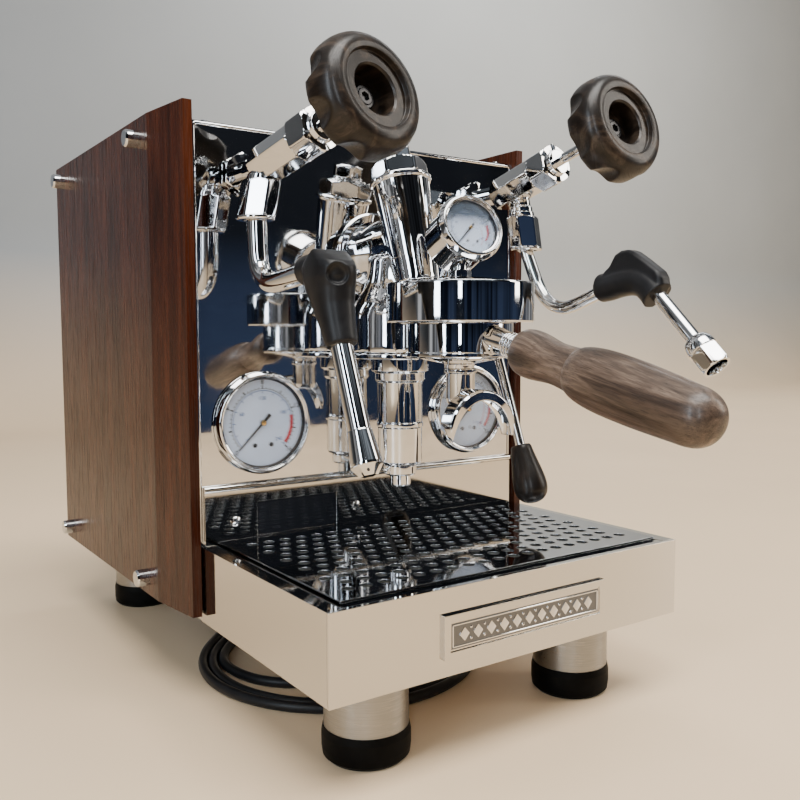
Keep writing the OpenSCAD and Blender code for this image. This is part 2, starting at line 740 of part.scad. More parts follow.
// Seat ring above the ball
module ball_seat() {
    color("ivory") translate([0, 0, -ball_drop + 2]) difference() {
        cylinder(r = ball_r + 0.6, h = 9);
        translate([0, 0, -2]) sphere(r = ball_r + 0.15);
        translate([0, 0, -5]) cylinder(r = 3, h = 20);
    }
}

module steam_ball_seat() {
    outlet_frame(steam_outlet, -1) ball_seat();
}

module water_ball_seat() {
    outlet_frame(water_outlet, 1) ball_seat();
}

// Stem with the flange and the socket screw that hold the knob
module valve_stem(reach) {
    color(chrome) {
        translate([0, 0, -30]) cylinder(r = 3.6, h = reach + 14);
        translate([0, 0, reach - 26.6]) cylinder(r = 8, h = 2.6);
    }
    color(black) translate([0, 0, reach - 16.4]) difference() {
        cylinder(r = 7.2, h = 4.6);
        translate([0, 0, 2]) hex(5, 3);
    }
}

// Walnut knob: eight finger scoops round the rim, a stepped face and a deep centre hole
function knob_outline(r) = concat(
    [[3.9, -24], [r - 12, -24]],
    [for (t = [0.2 : 0.2 : 1]) bezier([[r - 12, -24], [r - 4, -24], [r, -19], [r, -14]], t)],
    [for (t = [0.143 : 0.143 : 0.95]) bezier([[r, -14], [r, -4], [r - 5, 0], [r - 10.5, 0]], t)],
    [[22.6, -0.4], [22.4, -3], [15, -3.6], [14, -4.4], [14, -16.4], [3.9, -16.4]]);
module knob() {
    r = knob_d / 2;
    color(walnut) difference() {
        rotate_extrude($fn = 96) polygon(knob_outline(r));
        for (k = [0 : 7]) rotate([0, 0, 45 * k + 22.5]) translate([r + 5.5, 0, -23])
            rotate([0, 18, 0]) cylinder(r = 11, h = 34, center = true, $fn = 48);
    }
}

module steam_stem() {
    valve_frame(steam_nut, steam_pan) valve_stem(steam_reach);
}

module steam_knob() {
    valve_frame(steam_nut, steam_pan) translate([0, 0, steam_reach]) knob();
}

module water_stem() {
    valve_frame(water_nut, 0) valve_stem(water_reach);
}

module water_knob() {
    valve_frame(water_nut, 0) translate([0, 0, water_reach]) knob();
}

// Wands, drawn in the plane of the ball: route points are [y, z] from the ball
function placed(route, ball) = [for (p = route) ball + [0, p[0], p[1]]];

module steam_wand() {
    color(chrome) {
        bent_bar(placed(steam_route, steam_ball), steam_tube_r);
        translate(steam_ball) sphere(r = ball_r, $fn = 48);
    }
}

module steam_end(from) {
    b = steam_ball + [0, -119, -128];
    d = unit([0, -28, -70]);
    translate(b + from * d) rotate([0, acos(d[2]), atan2(d[1], d[0])]) children();
}

module steam_tip() {
    color(chrome) steam_end(-2) difference() {
        union() {
            cylinder(r1 = 6.6, r2 = 8.6, h = 19);
            translate([0, 0, 19]) cylinder(r1 = 8.6, r2 = 4.8, h = 5.5, $fn = 6);
        }
        translate([0, 0, -1]) cylinder(r = steam_tube_r + 0.05, h = 3);
        for (k = [0 : 3]) rotate([0, 0, 90 * k]) translate([0, 0, 18]) rotate([0, 35, 0]) cylinder(r = 0.7, h = 12);
    }
}

// Rubber grip over the second bend of the steam wand
module steam_grip() {
    color(black) difference() {
        hull() {
            translate(steam_ball + [0, -74, -40]) sphere(r = 9.5, $fn = 20);
            translate(steam_ball + [0, -95, -40]) sphere(r = 9.5, $fn = 20);
            translate(steam_ball + [0, -98, -75]) sphere(r = 9.5, $fn = 20);
        }
        bent_bar(placed(steam_route, steam_ball), steam_tube_r + 0.02);
    }
}

module water_wand() {
    color(chrome) {
        bent_bar(placed(water_route, water_ball), water_tube_r);
        translate(water_ball) sphere(r = ball_r, $fn = 48);
    }
}

module water_nozzle() {
    b = water_ball + [0, -155, -75];
    d = unit([0, -33, -33]);
    color(chrome) translate(b - 4 * d) rotate([0, acos(d[2]), atan2(d[1], d[0])]) difference() {
        rotate_extrude() polygon([[0, 0], [6, 0], [8.6, 3], [9.6, 8], [9.6, 21], [9, 24], [0, 24]]);
        translate([0, 0, -1]) cylinder(r = water_tube_r + 0.05, h = 5);
        translate([0, 0, 14]) cylinder(r = 7.2, h = 12);
    }
}

module water_grip() {
    color(black) difference() {
        hull() {
            translate(water_ball + [0, -78, -39.5]) sphere(r = 9, $fn = 20);
            translate(water_ball + [0, -119, -41.5]) sphere(r = 9, $fn = 20);
            translate(water_ball + [0, -96, -22]) sphere(r = 6.5, $fn = 20);
            translate(water_ball + [0, -106, -23]) sphere(r = 6.5, $fn = 20);
        }
        bent_bar(placed(water_route, water_ball), water_tube_r + 0.02);
    }
}

// ---------- inside the case ----------

// Heat-exchanger boiler with a bolted front flange and two unions for the valve feeds
boiler_l = 139;
union_at = [24, 100, 326];
module boiler() {
    color(brass) {
        translate([0, boiler_rear, boiler_z]) rotate([90, 0, 0]) difference() {
            union() {
                cylinder(r = 50, h = boiler_l - 11);
                translate([0, 0, boiler_l - 11.5]) cylinder(r = 58, h = 5);
                translate([0, 0, boiler_l - 7]) cylinder(r = 56.5, h = 1.2);
                translate([0, 0, boiler_l - 6]) cylinder(r = 58, h = 6);
                for (k = [0 : 7]) rotate([0, 0, 45 * k + 22.5]) translate([52, 0, boiler_l - 1]) hex(10, 5);
            }
            translate([0, 0, 2]) cylinder(r = 48, h = boiler_l - 8);
        }
        for (side = [-1, 1]) difference() {
            translate([side * union_at[0], union_at[1], boiler_z + 41]) hex(11, union_at[2] - boiler_z - 49);
            translate([0, boiler_rear, boiler_z]) rotate([90, 0, 0]) cylinder(r = 49, h = boiler_l - 11);
        }
    }
}

module heating_element() {
    color("dimgray") for (side = [-1, 1])
        bent_bar([[side * 10, 47.5, boiler_z - 28], [side * 10, 140, boiler_z - 28],
                  [side * 22, 156, boiler_z - 24], [side * 30, 140, boiler_z - 18],
                  [side * 30, 60, boiler_z - 18]], 3.5);
}

module pump() {
    color(brass) translate([-75, 60, 84]) rotate([-90, 0, 0]) {
        cylinder(r = 24, h = 62);
        translate([0, 0, 62]) cylinder(r = 11, h = 30);
        translate([0, 0, -18]) cylinder(r = 9, h = 18);
    }
    color(black) slab(-90, -60, 70, 110, case_floor + 2, case_floor + 7);
}

module water_tank() {
    color("lightblue") difference() {
        slab(-tank[0], tank[0], tank[1], tank[2], tank[3], tank[4]);
        slab(-tank[0] + 3, tank[0] - 3, tank[1] + 3, tank[2] - 3, tank[3] + 3, tank[4] + 1);
    }
}

module tank_lid() {
    color(steel) {
        slab(-tank_open[0] + 1, tank_open[0] - 1, tank_open[1] + 1, tank_open[2] - 1,
             fascia_top - 8.5, fascia_top - 7);
        slab(-tank[0], tank[0], tank[1], tank[2], tank[4], fascia_top - 8.5);
        slab(-14, 14, 226, 236, fascia_top - 7.2, fascia_top - 2);
    }
}

// Control box on the case floor, and the frame the rocker of the power switch sits in
module electronics_box() {
    color(black) {
        slab(40, 118, 40, 150, case_floor + 2, 110);
        for (k = [0 : 4]) slab(50 + 14 * k, 58 + 14 * k, 60, 70, 109.5, 118);
        translate(switch_at) difference() {
            union() {
                slab(-15.2, 15.2, -11, 1, -11.2, 11.2);
                slab(-17, 17, 0, 1.5, -13, 13);
            }
            slab(-12.8, 12.8, -9, 3, -9.8, 9.8);
        }
    }
}

// Copper pipes: group loop, valve feeds, pump line
module pipes() {
    color(brass) {
        for (z = [286, 314]) bar([0, 0, z], [0, boiler_rear - boiler_l, z], 6);
        for (side = [-1, 1]) {
            start = side < 0 ? valve_rear(steam_nut, steam_pan) : valve_rear(water_nut, 0);
            top = [side * union_at[0], union_at[1], union_at[2]];
            bent_bar([[start[0], valve_back + feed_gap, start[2]], [start[0], 24, start[2]], [side * 70, 60, 347],
                      [side * 36, 92, 342], top + [0, 0, 8], top - [0, 0, 8.5]], 3);
        }
        bent_bar([[-75, 151, 84], [-75, 160, 86], [-75, 168, 100], [-74, 171, 180], [-52, 170, 216],
                  [-36, 168, 235]], 3);
    }
}

module power_switch() {
    color(black) translate(switch_at) rotate([switch_throw, 0, 0]) intersection() {
        rotate([0, 90, 0]) cylinder(r = 9.5, h = 25, center = true);
        slab(-13, 13, -6, 10, -7.6, 7.6);
    }
}

// ---------- mains cord ----------

module cord_gland() {
    color(black) translate([gland[0], gland[1], 0]) rotate_extrude()
        polygon([[0, gland[2]], [4.6, gland[2]], [6.2, case_floor - 4], [11, case_floor - 4],
                 [11, case_floor], [7.6, case_floor], [7.6, case_floor + 6], [0, case_floor + 6]]);
}

// The run from the gland to the coil, and the run from the coil to the plug
module cord_lead() {
    color("black") {
        swept_tube(lead_route, cord_d / 2, 10);
        swept_tube(tail_route, cord_d / 2, 10);
    }
}

module cord_coil() {
    r = 1.6;
    color("black") translate([coil_centre[0], coil_centre[1], 0]) rotate_extrude($fn = 96)
        polygon([[coil_r_in + r, 0], [coil_r_out - r, 0], [coil_r_out, r], [coil_r_out, coil_h - r],
                 [coil_r_out - r, coil_h], [coil_r_in + r, coil_h], [coil_r_in, coil_h - r], [coil_r_in, r]]);
}

// Two-pin plug on the end of the tail, lying inside the coil
module cord_plug() {
    color("black") {
        translate([plug_at[0], plug_at[1], 0]) rotate([0, 0, plug_turn]) {
            translate([0, 0, plug_at[2]]) rotate([0, 90, 0]) cylinder(r1 = 5.5, r2 = 7.5, h = 14);
            hull() {
                translate([14, 0, 2]) slab(0, 1, -8, 8, 0, 15);
                translate([26, 0, 2]) slab(0, 8, -17, 17, 0, 18);
            }
            for (side = [-1, 1]) translate([34, 9.5 * side, 11]) rotate([0, 90, 0]) cylinder(r = 2.4, h = 19);
        }
    }
}

chassis();
fascia();
rear_panel();
cup_tray();
side_panel(-1);  // left_side_panel
side_panel(1);  // right_side_panel
case_fasteners();
backsplash();
tray_housing();
tray_front();
badge_plate();
drip_tray();
drip_grate();
foot_sleeves();
foot_pads();
group_body();
group_caps();
group_gasket();
shower_screen();
preinfusion_chamber();
lever_cam();
lever_rod();
lever_grip();
group_gauge_case();
panel_gauge_cases();
gauge_dials();
gauge_lenses();
group_needle();
left_needle();
right_needle();
portafilter_body();
filter_basket();
portafilter_handle();
spout();
valve_bodies();
ball_nuts();
steam_stem();
steam_knob();
steam_ball_seat();
steam_wand();
steam_grip();
steam_tip();
water_stem();
water_knob();
water_ball_seat();
water_wand();
water_grip();
water_nozzle();
boiler();
heating_element();
pump();
water_tank();
tank_lid();
electronics_box();
pipes();
power_switch();
cord_gland();
cord_lead();
cord_coil();
cord_plug();
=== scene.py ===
"""Looks of the espresso machine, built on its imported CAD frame. Sizes are in mm until a mesh is made."""

import json
from math import asin, atan2, cos, inf, pi, radians, sin, sqrt, tan

import bmesh
import bpy
from mathutils import Matrix, Vector


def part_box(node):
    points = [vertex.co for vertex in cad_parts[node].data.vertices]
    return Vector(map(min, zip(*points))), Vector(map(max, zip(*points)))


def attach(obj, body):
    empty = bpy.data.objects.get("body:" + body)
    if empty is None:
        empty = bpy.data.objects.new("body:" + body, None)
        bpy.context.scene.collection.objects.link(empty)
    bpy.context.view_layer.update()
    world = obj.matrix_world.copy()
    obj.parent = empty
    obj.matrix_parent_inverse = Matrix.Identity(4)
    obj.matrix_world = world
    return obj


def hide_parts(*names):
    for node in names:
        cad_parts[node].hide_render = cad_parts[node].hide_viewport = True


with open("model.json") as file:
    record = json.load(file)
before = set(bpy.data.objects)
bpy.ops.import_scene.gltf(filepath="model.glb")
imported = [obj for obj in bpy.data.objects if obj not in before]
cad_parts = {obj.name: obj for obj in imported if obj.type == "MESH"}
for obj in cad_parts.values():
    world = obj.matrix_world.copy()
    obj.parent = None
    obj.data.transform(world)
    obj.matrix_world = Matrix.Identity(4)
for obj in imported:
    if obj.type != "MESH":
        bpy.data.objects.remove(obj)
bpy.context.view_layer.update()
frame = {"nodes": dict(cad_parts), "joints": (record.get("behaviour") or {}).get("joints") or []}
NODES = frame["nodes"]
JOINTS = {joint["name"]: joint for joint in frame["joints"]}
MM = 0.001


# ---------- node materials ----------

class Tree:
    """Short calls that add nodes to a node tree."""

    def __init__(self, tree):
        self.tree = tree

    def fill(self, socket, value):
        """Links an input to an output, or sets it to a value."""
        if isinstance(value, bpy.types.NodeSocket):
            self.tree.links.new(value, socket)
        else:
            socket.default_value = value

    def node(self, kind, **inputs):
        made = self.tree.nodes.new("ShaderNode" + kind)
        for key, value in inputs.items():
            self.fill(made.inputs[key.replace("_", " ")], value)
        return made

    def span(self, value, low, high, **ends):
        """A value spread from the range low to high over 0 to 1, or over the ends given."""
        return self.node("MapRange", Value=value, From_Min=low, From_Max=high, **ends).outputs[0]

    def noise(self, vector, scale, detail=4.0, roughness=0.55, distortion=0.0):
        return self.node("TexNoise", Vector=vector, Scale=scale, Detail=detail, Roughness=roughness,
                         Distortion=distortion).outputs["Fac"]

    def ramp(self, value, *stops):
        made = self.node("ValToRGB", Fac=value)
        elements = made.color_ramp.elements
        while len(elements) < len(stops):
            elements.new(0.5)
        for element, (place, colour) in zip(elements, stops):
            element.position = place
            element.color = (*colour, 1) if hasattr(colour, "__len__") else (colour, colour, colour, 1)
        return made.outputs[0]

    def mix(self, how, share, a, b):
        made = self.tree.nodes.new("ShaderNodeMix")
        made.data_type = "RGBA"
        made.blend_type = how
        for socket, value in ((0, share), (6, a), (7, b)):
            self.fill(made.inputs[socket], value)
        return made.outputs[2]


class Look(Tree):
    """A Principled material and the slot it stands for."""

    def __init__(self, name, slot, colour, roughness, metallic=0.0, **sockets):
        self.name, self.slot = name, slot
        self.material = bpy.data.materials.new(name)
        self.material.use_nodes = True
        super().__init__(self.material.node_tree)
        self.shader = self.tree.nodes["Principled BSDF"]
        sockets.update(Base_Color=(*colour, 1), Roughness=roughness, Metallic=metallic)
        for socket, value in sockets.items():
            self.shader.inputs[socket.replace("_", " ")].default_value = value

    def coords(self, scale=(1, 1, 1), turn=(0, 0, 0), at=(0, 0, 0)):
        """Object coordinates, in metres in the row frame, turned by degrees and then stretched."""
        place = self.node("Mapping", Vector=self.node("TexCoord").outputs["Object"])
        place.vector_type = "TEXTURE"
        place.inputs["Location"].default_value = at
        place.inputs["Rotation"].default_value = [radians(angle) for angle in turn]
        return self.node("Mapping", Vector=place.outputs[0], Scale=scale).outputs[0]

    def link(self, value, socket):
        self.tree.links.new(value, self.shader.inputs[socket])

    def shade(self, socket, value, *stops):
        self.link(self.ramp(value, *stops), socket)

    def bump(self, height, strength, distance, **inputs):
        made = self.node("Bump", Height=height, Strength=strength, Distance=distance, **inputs)
        self.link(made.outputs[0], "Normal")


def scaled(colour, factor):
    return tuple(min(1, c * factor) for c in colour)


def chrome(name="mirror_chrome", low=0.025, high=0.09, waves=0.0):
    """Mirror-polished plating: faint wipe marks in its gloss, and slow waves where it is cast."""
    look = Look(name, "mirror_chrome", (0.64, 0.65, 0.66), low, 1.0)
    smears = look.noise(look.coords((1, 1, 2.5)), 34, 5, 0.6, 0.6)
    look.shade("Roughness", smears, (0.42, low), (0.75, high))
    look.shade("Base Color", smears, (0.3, (0.68, 0.685, 0.695)), (0.8, (0.60, 0.605, 0.615)))
    if waves:
        look.bump(look.noise(look.coords(), 55, 1.5), waves, 0.0006)
    return look


def polished_steel(name="polished_steel", colour=(0.60, 0.585, 0.555)):
    """Polished stainless sheet: a touch duller than chrome, with fine straight marks and soft edges. The default
    colour's warm tint is a painted reflection.
    """
    look = Look(name, "brushed_steel", colour, 0.05, 1.0)
    marks = look.noise(look.coords((4, 4, 900)), 3, 3, 0.7)
    look.shade("Roughness", marks, (0.35, 0.03), (0.7, 0.08))
    look.bump(marks, 0.02, 0.0001, Normal=look.node("Bevel", Radius=0.0005).outputs[0])
    return look


def brushed_steel(name, scale, tone=1.0):
    """Brushed stainless: streaks along one direction, in colour, gloss and relief. A tone below 1 darkens the colour as
    painted shade.
    """
    look = Look(name, "brushed_steel", (0.60, 0.60, 0.59), 0.32, 1.0)
    streaks = look.noise(look.coords(scale), 5, 6, 0.65)
    look.shade("Roughness", streaks, (0.3, 0.24), (0.72, 0.42))
    look.shade("Base Color", streaks, (0.3, scaled((0.66, 0.655, 0.64), tone)),
               (0.75, scaled((0.52, 0.52, 0.51), tone)))
    look.bump(streaks, 0.18, 0.0001)
    return look


def walnut(name, turn, tones, gloss, scale=1.0, at=(0, 0, 0), shine=0.36):
    """Walnut with its grain along local Z: broad figure, narrow dark bands, and open pores."""
    dark, middle, light = tones
    look = Look(name, "walnut", middle, gloss, Coat_Weight=shine / 3, Coat_Roughness=0.16, Specular_IOR_Level=shine)

    def grain(across, lengthwise, *noise):
        return look.noise(look.coords((across * scale, across * scale, lengthwise * scale), turn, at), *noise)
    figure = grain(9, 1.1, 4.0, 4, 0.6, 1.6)
    bands = grain(70, 2.6, 2.6, 6, 0.7, 0.9)
    pores = grain(420, 16, 2.2, 3, 0.6)
    colour = look.ramp(figure, (0.28, dark), (0.52, middle), (0.74, light))
    band_tones = look.ramp(bands, (0.36, (0.34, 0.30, 0.28)), (0.60, (1, 1, 1)))
    pore_tones = look.ramp(pores, (0.34, (0.30, 0.26, 0.24)), (0.46, (1, 1, 1)))
    colour = look.mix("MULTIPLY", 0.75, colour, band_tones)
    look.link(look.mix("MULTIPLY", 0.65, colour, pore_tones), "Base Color")
    look.shade("Roughness", pores, (0.36, gloss + 0.22), (0.5, gloss))
    look.bump(pores, 0.22, 0.0002)
    return look


def rubber(name="black_rubber", colour=(0.007, 0.007, 0.008), roughness=0.38, shine=0.22):
    """Matt rubber with a fine grain and a little dust."""
    look = Look(name, "black_rubber", colour, roughness, Specular_IOR_Level=shine)
    grain = look.noise(look.coords(), 900, 3, 0.6)
    dust = look.noise(look.coords(), 40, 5, 0.65)
    look.shade("Base Color", dust, (0.45, colour), (0.85, tuple(c * 1.8 + 0.003 for c in colour)))
    look.shade("Roughness", dust, (0.3, roughness - 0.08), (0.8, roughness + 0.12))
    look.bump(grain, 0.12, 0.0002)
    return look


def painted(name, colour, roughness, metallic=0.0, slot="", grain=700, **sockets):
    """A smooth moulded or painted surface: a little relief and slight changes of tone."""
    look = Look(name, slot or name, colour, roughness, metallic, **sockets)
    tone = look.noise(look.coords(), 30, 4, 0.6)
    look.shade("Base Color", tone, (0.3, scaled(colour, 0.9)), (0.8, scaled(colour, 1.08)))
    look.shade("Roughness", tone, (0.3, max(0.02, roughness - 0.05)), (0.8, roughness + 0.07))
    look.bump(look.noise(look.coords(), grain, 2), 0.1, 0.0001)
    return look


def lens_glass():
    """Clear glass that lets part of the light straight through to the dial."""
    look = Look("lens_glass", "lens", (0.97, 0.985, 1.0), 0.0, 0.0, Transmission_Weight=1.0, IOR=1.45, Alpha=0.4)
    look.shade("Roughness", look.noise(look.coords(), 60, 4), (0.5, 0.0), (0.9, 0.03))
    return look


RED_WALNUT = ((0.022, 0.0055, 0.0022), (0.052, 0.0125, 0.005), (0.092, 0.025, 0.010))
BROWN_WALNUT = ((0.028, 0.018, 0.013), (0.095, 0.064, 0.046), (0.235, 0.170, 0.128))
KNOB_WALNUT = ((0.004, 0.0026, 0.002), (0.014, 0.009, 0.006), (0.075, 0.052, 0.036))

LOOKS = {look.name: look for look in (
    chrome(),
    chrome("cast_chrome", 0.03, 0.10, 0.35),
    polished_steel(),
    # Darker, bluer steel for the grate: a painted reflection of a dark, bluish room.
    polished_steel("grate_steel", (0.42, 0.44, 0.47)),
    brushed_steel("brushed_steel_up", (60, 60, 1.5)),
    brushed_steel("brushed_steel_across", (1.5, 60, 60)),
    # The foot sleeves' half tone is painted shade, for the shadowed floor that they reflect.
    brushed_steel("brushed_steel_round", (12, 12, 420), 0.5),
    walnut("panel_walnut", (0, 0, 0), RED_WALNUT, 0.24, shine=0.18),
    walnut("handle_walnut", (104, 0, 0), BROWN_WALNUT, 0.36, 2.2),
    walnut("steam_knob_walnut", (78, 0, 24), KNOB_WALNUT, 0.30, 2.0, shine=0.26),
    walnut("water_knob_walnut", (70, 0, -60), KNOB_WALNUT, 0.30, 2.0, (0.3, 0.1, 0), 0.26),
    walnut("lever_walnut", (159, 0, 0), KNOB_WALNUT, 0.34, 2.0, (0.1, 0.5, 0), 0.26),
    rubber(),
    rubber("foot_rubber", (0.002, 0.002, 0.002), 0.5, 0.06),
    rubber("cord_sheath", (0.009, 0.009, 0.010)),
    painted("black_steel", (0.035, 0.035, 0.038), 0.42, 0.3),
    painted("black_plastic", (0.028, 0.028, 0.030), 0.48),
    painted("seat_plastic", (0.80, 0.78, 0.70), 0.4),
    painted("black_screw", (0.020, 0.020, 0.022), 0.26, 0.6, "black_plastic"),
    painted("shaded_glass", (0.30, 0.36, 0.44), 0.1, 0.0, "lens", 200, Transmission_Weight=0.75, IOR=1.1),
    painted("dial_face", (0.66, 0.76, 0.94), 0.45),
    painted("dial_ink", (0.012, 0.014, 0.022), 0.5, slot="dial_face"),
    painted("dial_blue_ink", (0.04, 0.12, 0.36), 0.5, slot="dial_face"),
    painted("dial_red_ink", (0.55, 0.02, 0.03), 0.45, slot="dial_face"),
    lens_glass(),
    painted("needle_black", (0.02, 0.02, 0.022), 0.4),
    painted("brass", (0.72, 0.48, 0.20), 0.26, 1.0),
    painted("copper", (0.72, 0.36, 0.22), 0.24, 1.0, "brass"),
    painted("element_steel", (0.40, 0.40, 0.41), 0.35, 1.0),
    painted("badge_metal", (0.16, 0.165, 0.175), 0.40, 1.0, grain=1500),
    painted("tank_plastic", (0.78, 0.84, 0.88), 0.16, grain=300, Transmission_Weight=0.6),
    painted("dark_window", (0.012, 0.013, 0.016), 0.08, 0.0, "black_plastic", 200, Coat_Weight=0.5),
)}

# Which CAD nodes wear each look; the others are chrome
NODE_LOOKS = {
    "polished_steel": "tray_housing tray_front backsplash cup_tray badge_plate",
    "grate_steel": "drip_grate",
    "brushed_steel_up": "rear_panel",
    "brushed_steel_across": "drip_tray tank_lid shower_screen filter_basket",
    "brushed_steel_round": "foot_sleeves",
    "panel_walnut": "left_side_panel right_side_panel",
    "handle_walnut": "portafilter_handle",
    "lever_walnut": "steam_knob water_knob lever_grip",
    "foot_rubber": "foot_pads",
    "black_rubber": "group_gasket steam_grip water_grip cord_gland cord_plug",
    "black_steel": "chassis",
    "black_plastic": "electronics_box power_switch",
    "seat_plastic": "steam_ball_seat water_ball_seat",
    "dial_face": "gauge_dials",
    "lens_glass": "gauge_lenses",
    "needle_black": "group_needle left_needle right_needle",
    "brass": "boiler pump",
    "copper": "pipes",
    "element_steel": "heating_element",
    "tank_plastic": "water_tank",
}


def paint_nodes():
    chosen = {node: look for look, nodes in NODE_LOOKS.items() for node in nodes.split()}
    for name, node in NODES.items():
        node.data.materials.clear()
        node.data.materials.append(LOOKS[chosen.get(name, "mirror_chrome")].material)


# ---------- camera, floor and light ----------

CAMERA_PLACE = (-0.3465, -0.5366, 0.2443)
CAMERA_TURN = (34.70, 4.38, -0.19)
FLOOR_COLOUR = (0.80, 0.60, 0.39, 1)


def link(thing):
    bpy.context.scene.collection.objects.link(thing)
    return thing


def make_camera():
    """A camera at the photograph's viewing angle: in front, to the machine's left, above its middle."""
    yaw, pitch, roll = (radians(angle) for angle in CAMERA_TURN)
    ahead = Vector((sin(yaw) * cos(pitch), cos(yaw) * cos(pitch), -sin(pitch)))
    level = Vector((cos(yaw), -sin(yaw), 0))
    right = level * cos(roll) + level.cross(ahead) * sin(roll)
    data = bpy.data.cameras.new("camera")
    data.sensor_width = 36
    data.lens = 39.07
    camera = link(bpy.data.objects.new("camera", data))
    axes = Matrix((right, right.cross(ahead), -ahead)).transposed()
    camera.matrix_world = at(CAMERA_PLACE) @ axes.to_4x4()
    bpy.context.scene.camera = camera


def stage_paint():
    """A warm pale floor that turns to grey where it rises behind the machine; the grey carries painted shade, dark and
    bluish at the left and pale at the right.
    """
    look = Look("floor", "", (0.7, 0.6, 0.48), 0.5)
    split = look.node("SeparateXYZ", Vector=look.coords())
    # Painted shade across the backdrop: dark bluish grey at the left, pale warm grey at the right.
    wall_painted_shade = look.ramp(look.span(split.outputs["X"], -0.5, 4.5), (0.0, (0.21, 0.235, 0.265)),
                     (0.5, (0.46, 0.47, 0.46)), (1.0, (0.66, 0.65, 0.60)))
    colour = look.mix("MIX", look.span(split.outputs["Z"], 0.0, 0.5), FLOOR_COLOUR, wall_painted_shade)
    tone = look.ramp(look.noise(look.coords(), 2.5, 3), (0.3, 0.94), (0.75, 1.0))
    look.link(look.mix("MULTIPLY", 1.0, colour, tone), "Base Color")
    return look


def make_stage():
    """A plain pale floor that curves up into a backdrop behind the machine."""
    front, back, rise, turn, half = -1.5, 1.7, 2.6, 0.6, 7.0
    bend = [pi / 2 * k / 16 for k in range(17)]
    line = [(front, 0)] + [(back + turn * sin(a), turn - turn * cos(a)) for a in bend] + [(back + turn, rise)]
    vertices = [(x, y, z) for y, z in line for x in (-half, half)]
    faces = [(2 * k, 2 * k + 1, 2 * k + 3, 2 * k + 2) for k in range(len(line) - 1)]
    data = bpy.data.meshes.new("floor")
    data.from_pydata(vertices, [], faces)
    data.shade_smooth()
    data.materials.append(stage_paint().material)
    link(bpy.data.objects.new("floor", data))


def softbox(name, place, aim, size, power, colour):
    data = bpy.data.lights.new(name, "AREA")
    data.shape = "RECTANGLE"
    data.size, data.size_y = size
    data.energy = power
    data.color = colour
    light = link(bpy.data.objects.new(name, data))
    light.matrix_world = along(place, Vector(aim) - Vector(place), "-Z")


def make_light():
    """Soft boxes overhead and behind, and narrow ones that draw streaks on the chrome."""
    middle = (0, -0.02, 0.22)
    softbox("overhead", (-0.1, -0.75, 2.2), middle, (2.0, 1.0), 86, (1.0, 0.97, 0.92))
    softbox("left_tall", (-1.9, -0.7, 0.95), middle, (0.34, 1.6), 24, (0.80, 0.90, 1.0))
    softbox("left_front", (-1.25, -1.7, 0.95), middle, (0.20, 1.3), 13, (0.84, 0.92, 1.0))
    softbox("right_tall", (1.8, -1.2, 1.1), middle, (0.42, 1.6), 22, (1.0, 0.93, 0.84))
    softbox("back", (2.1, 0.8, 2.3), (2.7, 2.1, 0.6), (2.0, 0.8), 60, (0.99, 1.0, 1.0))


def make_room():
    """The room the chrome reflects: dark with faint posts in front, grey behind. The camera sees plain grey."""
    world = bpy.data.worlds.new("studio")
    bpy.context.scene.world = world
    world.use_nodes = True
    room, nodes = Tree(world.node_tree), world.node_tree.nodes
    facing = room.node("TexCoord").outputs["Generated"]
    split = room.node("SeparateXYZ", Vector=facing)
    front = room.ramp(room.span(split.outputs["Z"], -0.25, 1.0),
                      (0.0, (0.085, 0.070, 0.060)), (0.11, (0.018, 0.027, 0.052)), (0.24, (0.013, 0.019, 0.036)),
                      (0.29, (0.005, 0.006, 0.008)), (0.64, (0.012, 0.013, 0.015)), (0.80, (0.24, 0.27, 0.30)),
                      (1.0, (0.32, 0.34, 0.36)))
    colour = room.mix("MIX", room.span(split.outputs["Y"], -0.3, 0.4), front, (0.34, 0.34, 0.34, 1))
    posts = room.noise(room.node("Mapping", Vector=facing, Scale=(1, 1, 0.1)).outputs[0], 7.0, 2.0, 0.5)
    room.fill(nodes["Background"].inputs["Color"], colour)
    room.fill(nodes["Background"].inputs["Strength"], room.span(posts, 0.42, 0.62, To_Min=0.35, To_Max=2.4))
    pale = room.node("Background", Color=(0.36, 0.36, 0.35, 1))
    both = room.node("MixShader", Fac=room.node("LightPath").outputs["Is Camera Ray"])
    room.fill(both.inputs[1], nodes["Background"].outputs[0])
    room.fill(both.inputs[2], pale.outputs[0])
    room.fill(nodes["World Output"].inputs["Surface"], both.outputs[0])


# ---------- places ----------

def at(place, *turns):
    """A local frame in mm: a place, then turns given as an axis letter and degrees."""
    local = Matrix.Translation(place)
    for axis, angle in turns:
        local = local @ Matrix.Rotation(radians(angle), 4, axis)
    return local


def joint_frame(name):
    """The frame of a hinge in mm: +Z along its axis, X level."""
    joint = JOINTS[name]
    up = Vector(joint["axis"]).normalized()
    side = Vector((-up.y, up.x, 0))
    side = side.normalized() if side.length > 0.5 else Vector((1, 0, 0))
    turn = Matrix((side, up.cross(side), up)).transposed().to_4x4()
    return at(joint_place(name)) @ turn


def joint_place(name):
    return Vector(JOINTS[name]["pos_m"]) / MM


def along(place, direction, axis="Z"):
    """A frame with one axis along a direction."""
    return at(place) @ direction.to_track_quat(axis, "Y").to_matrix().to_4x4()


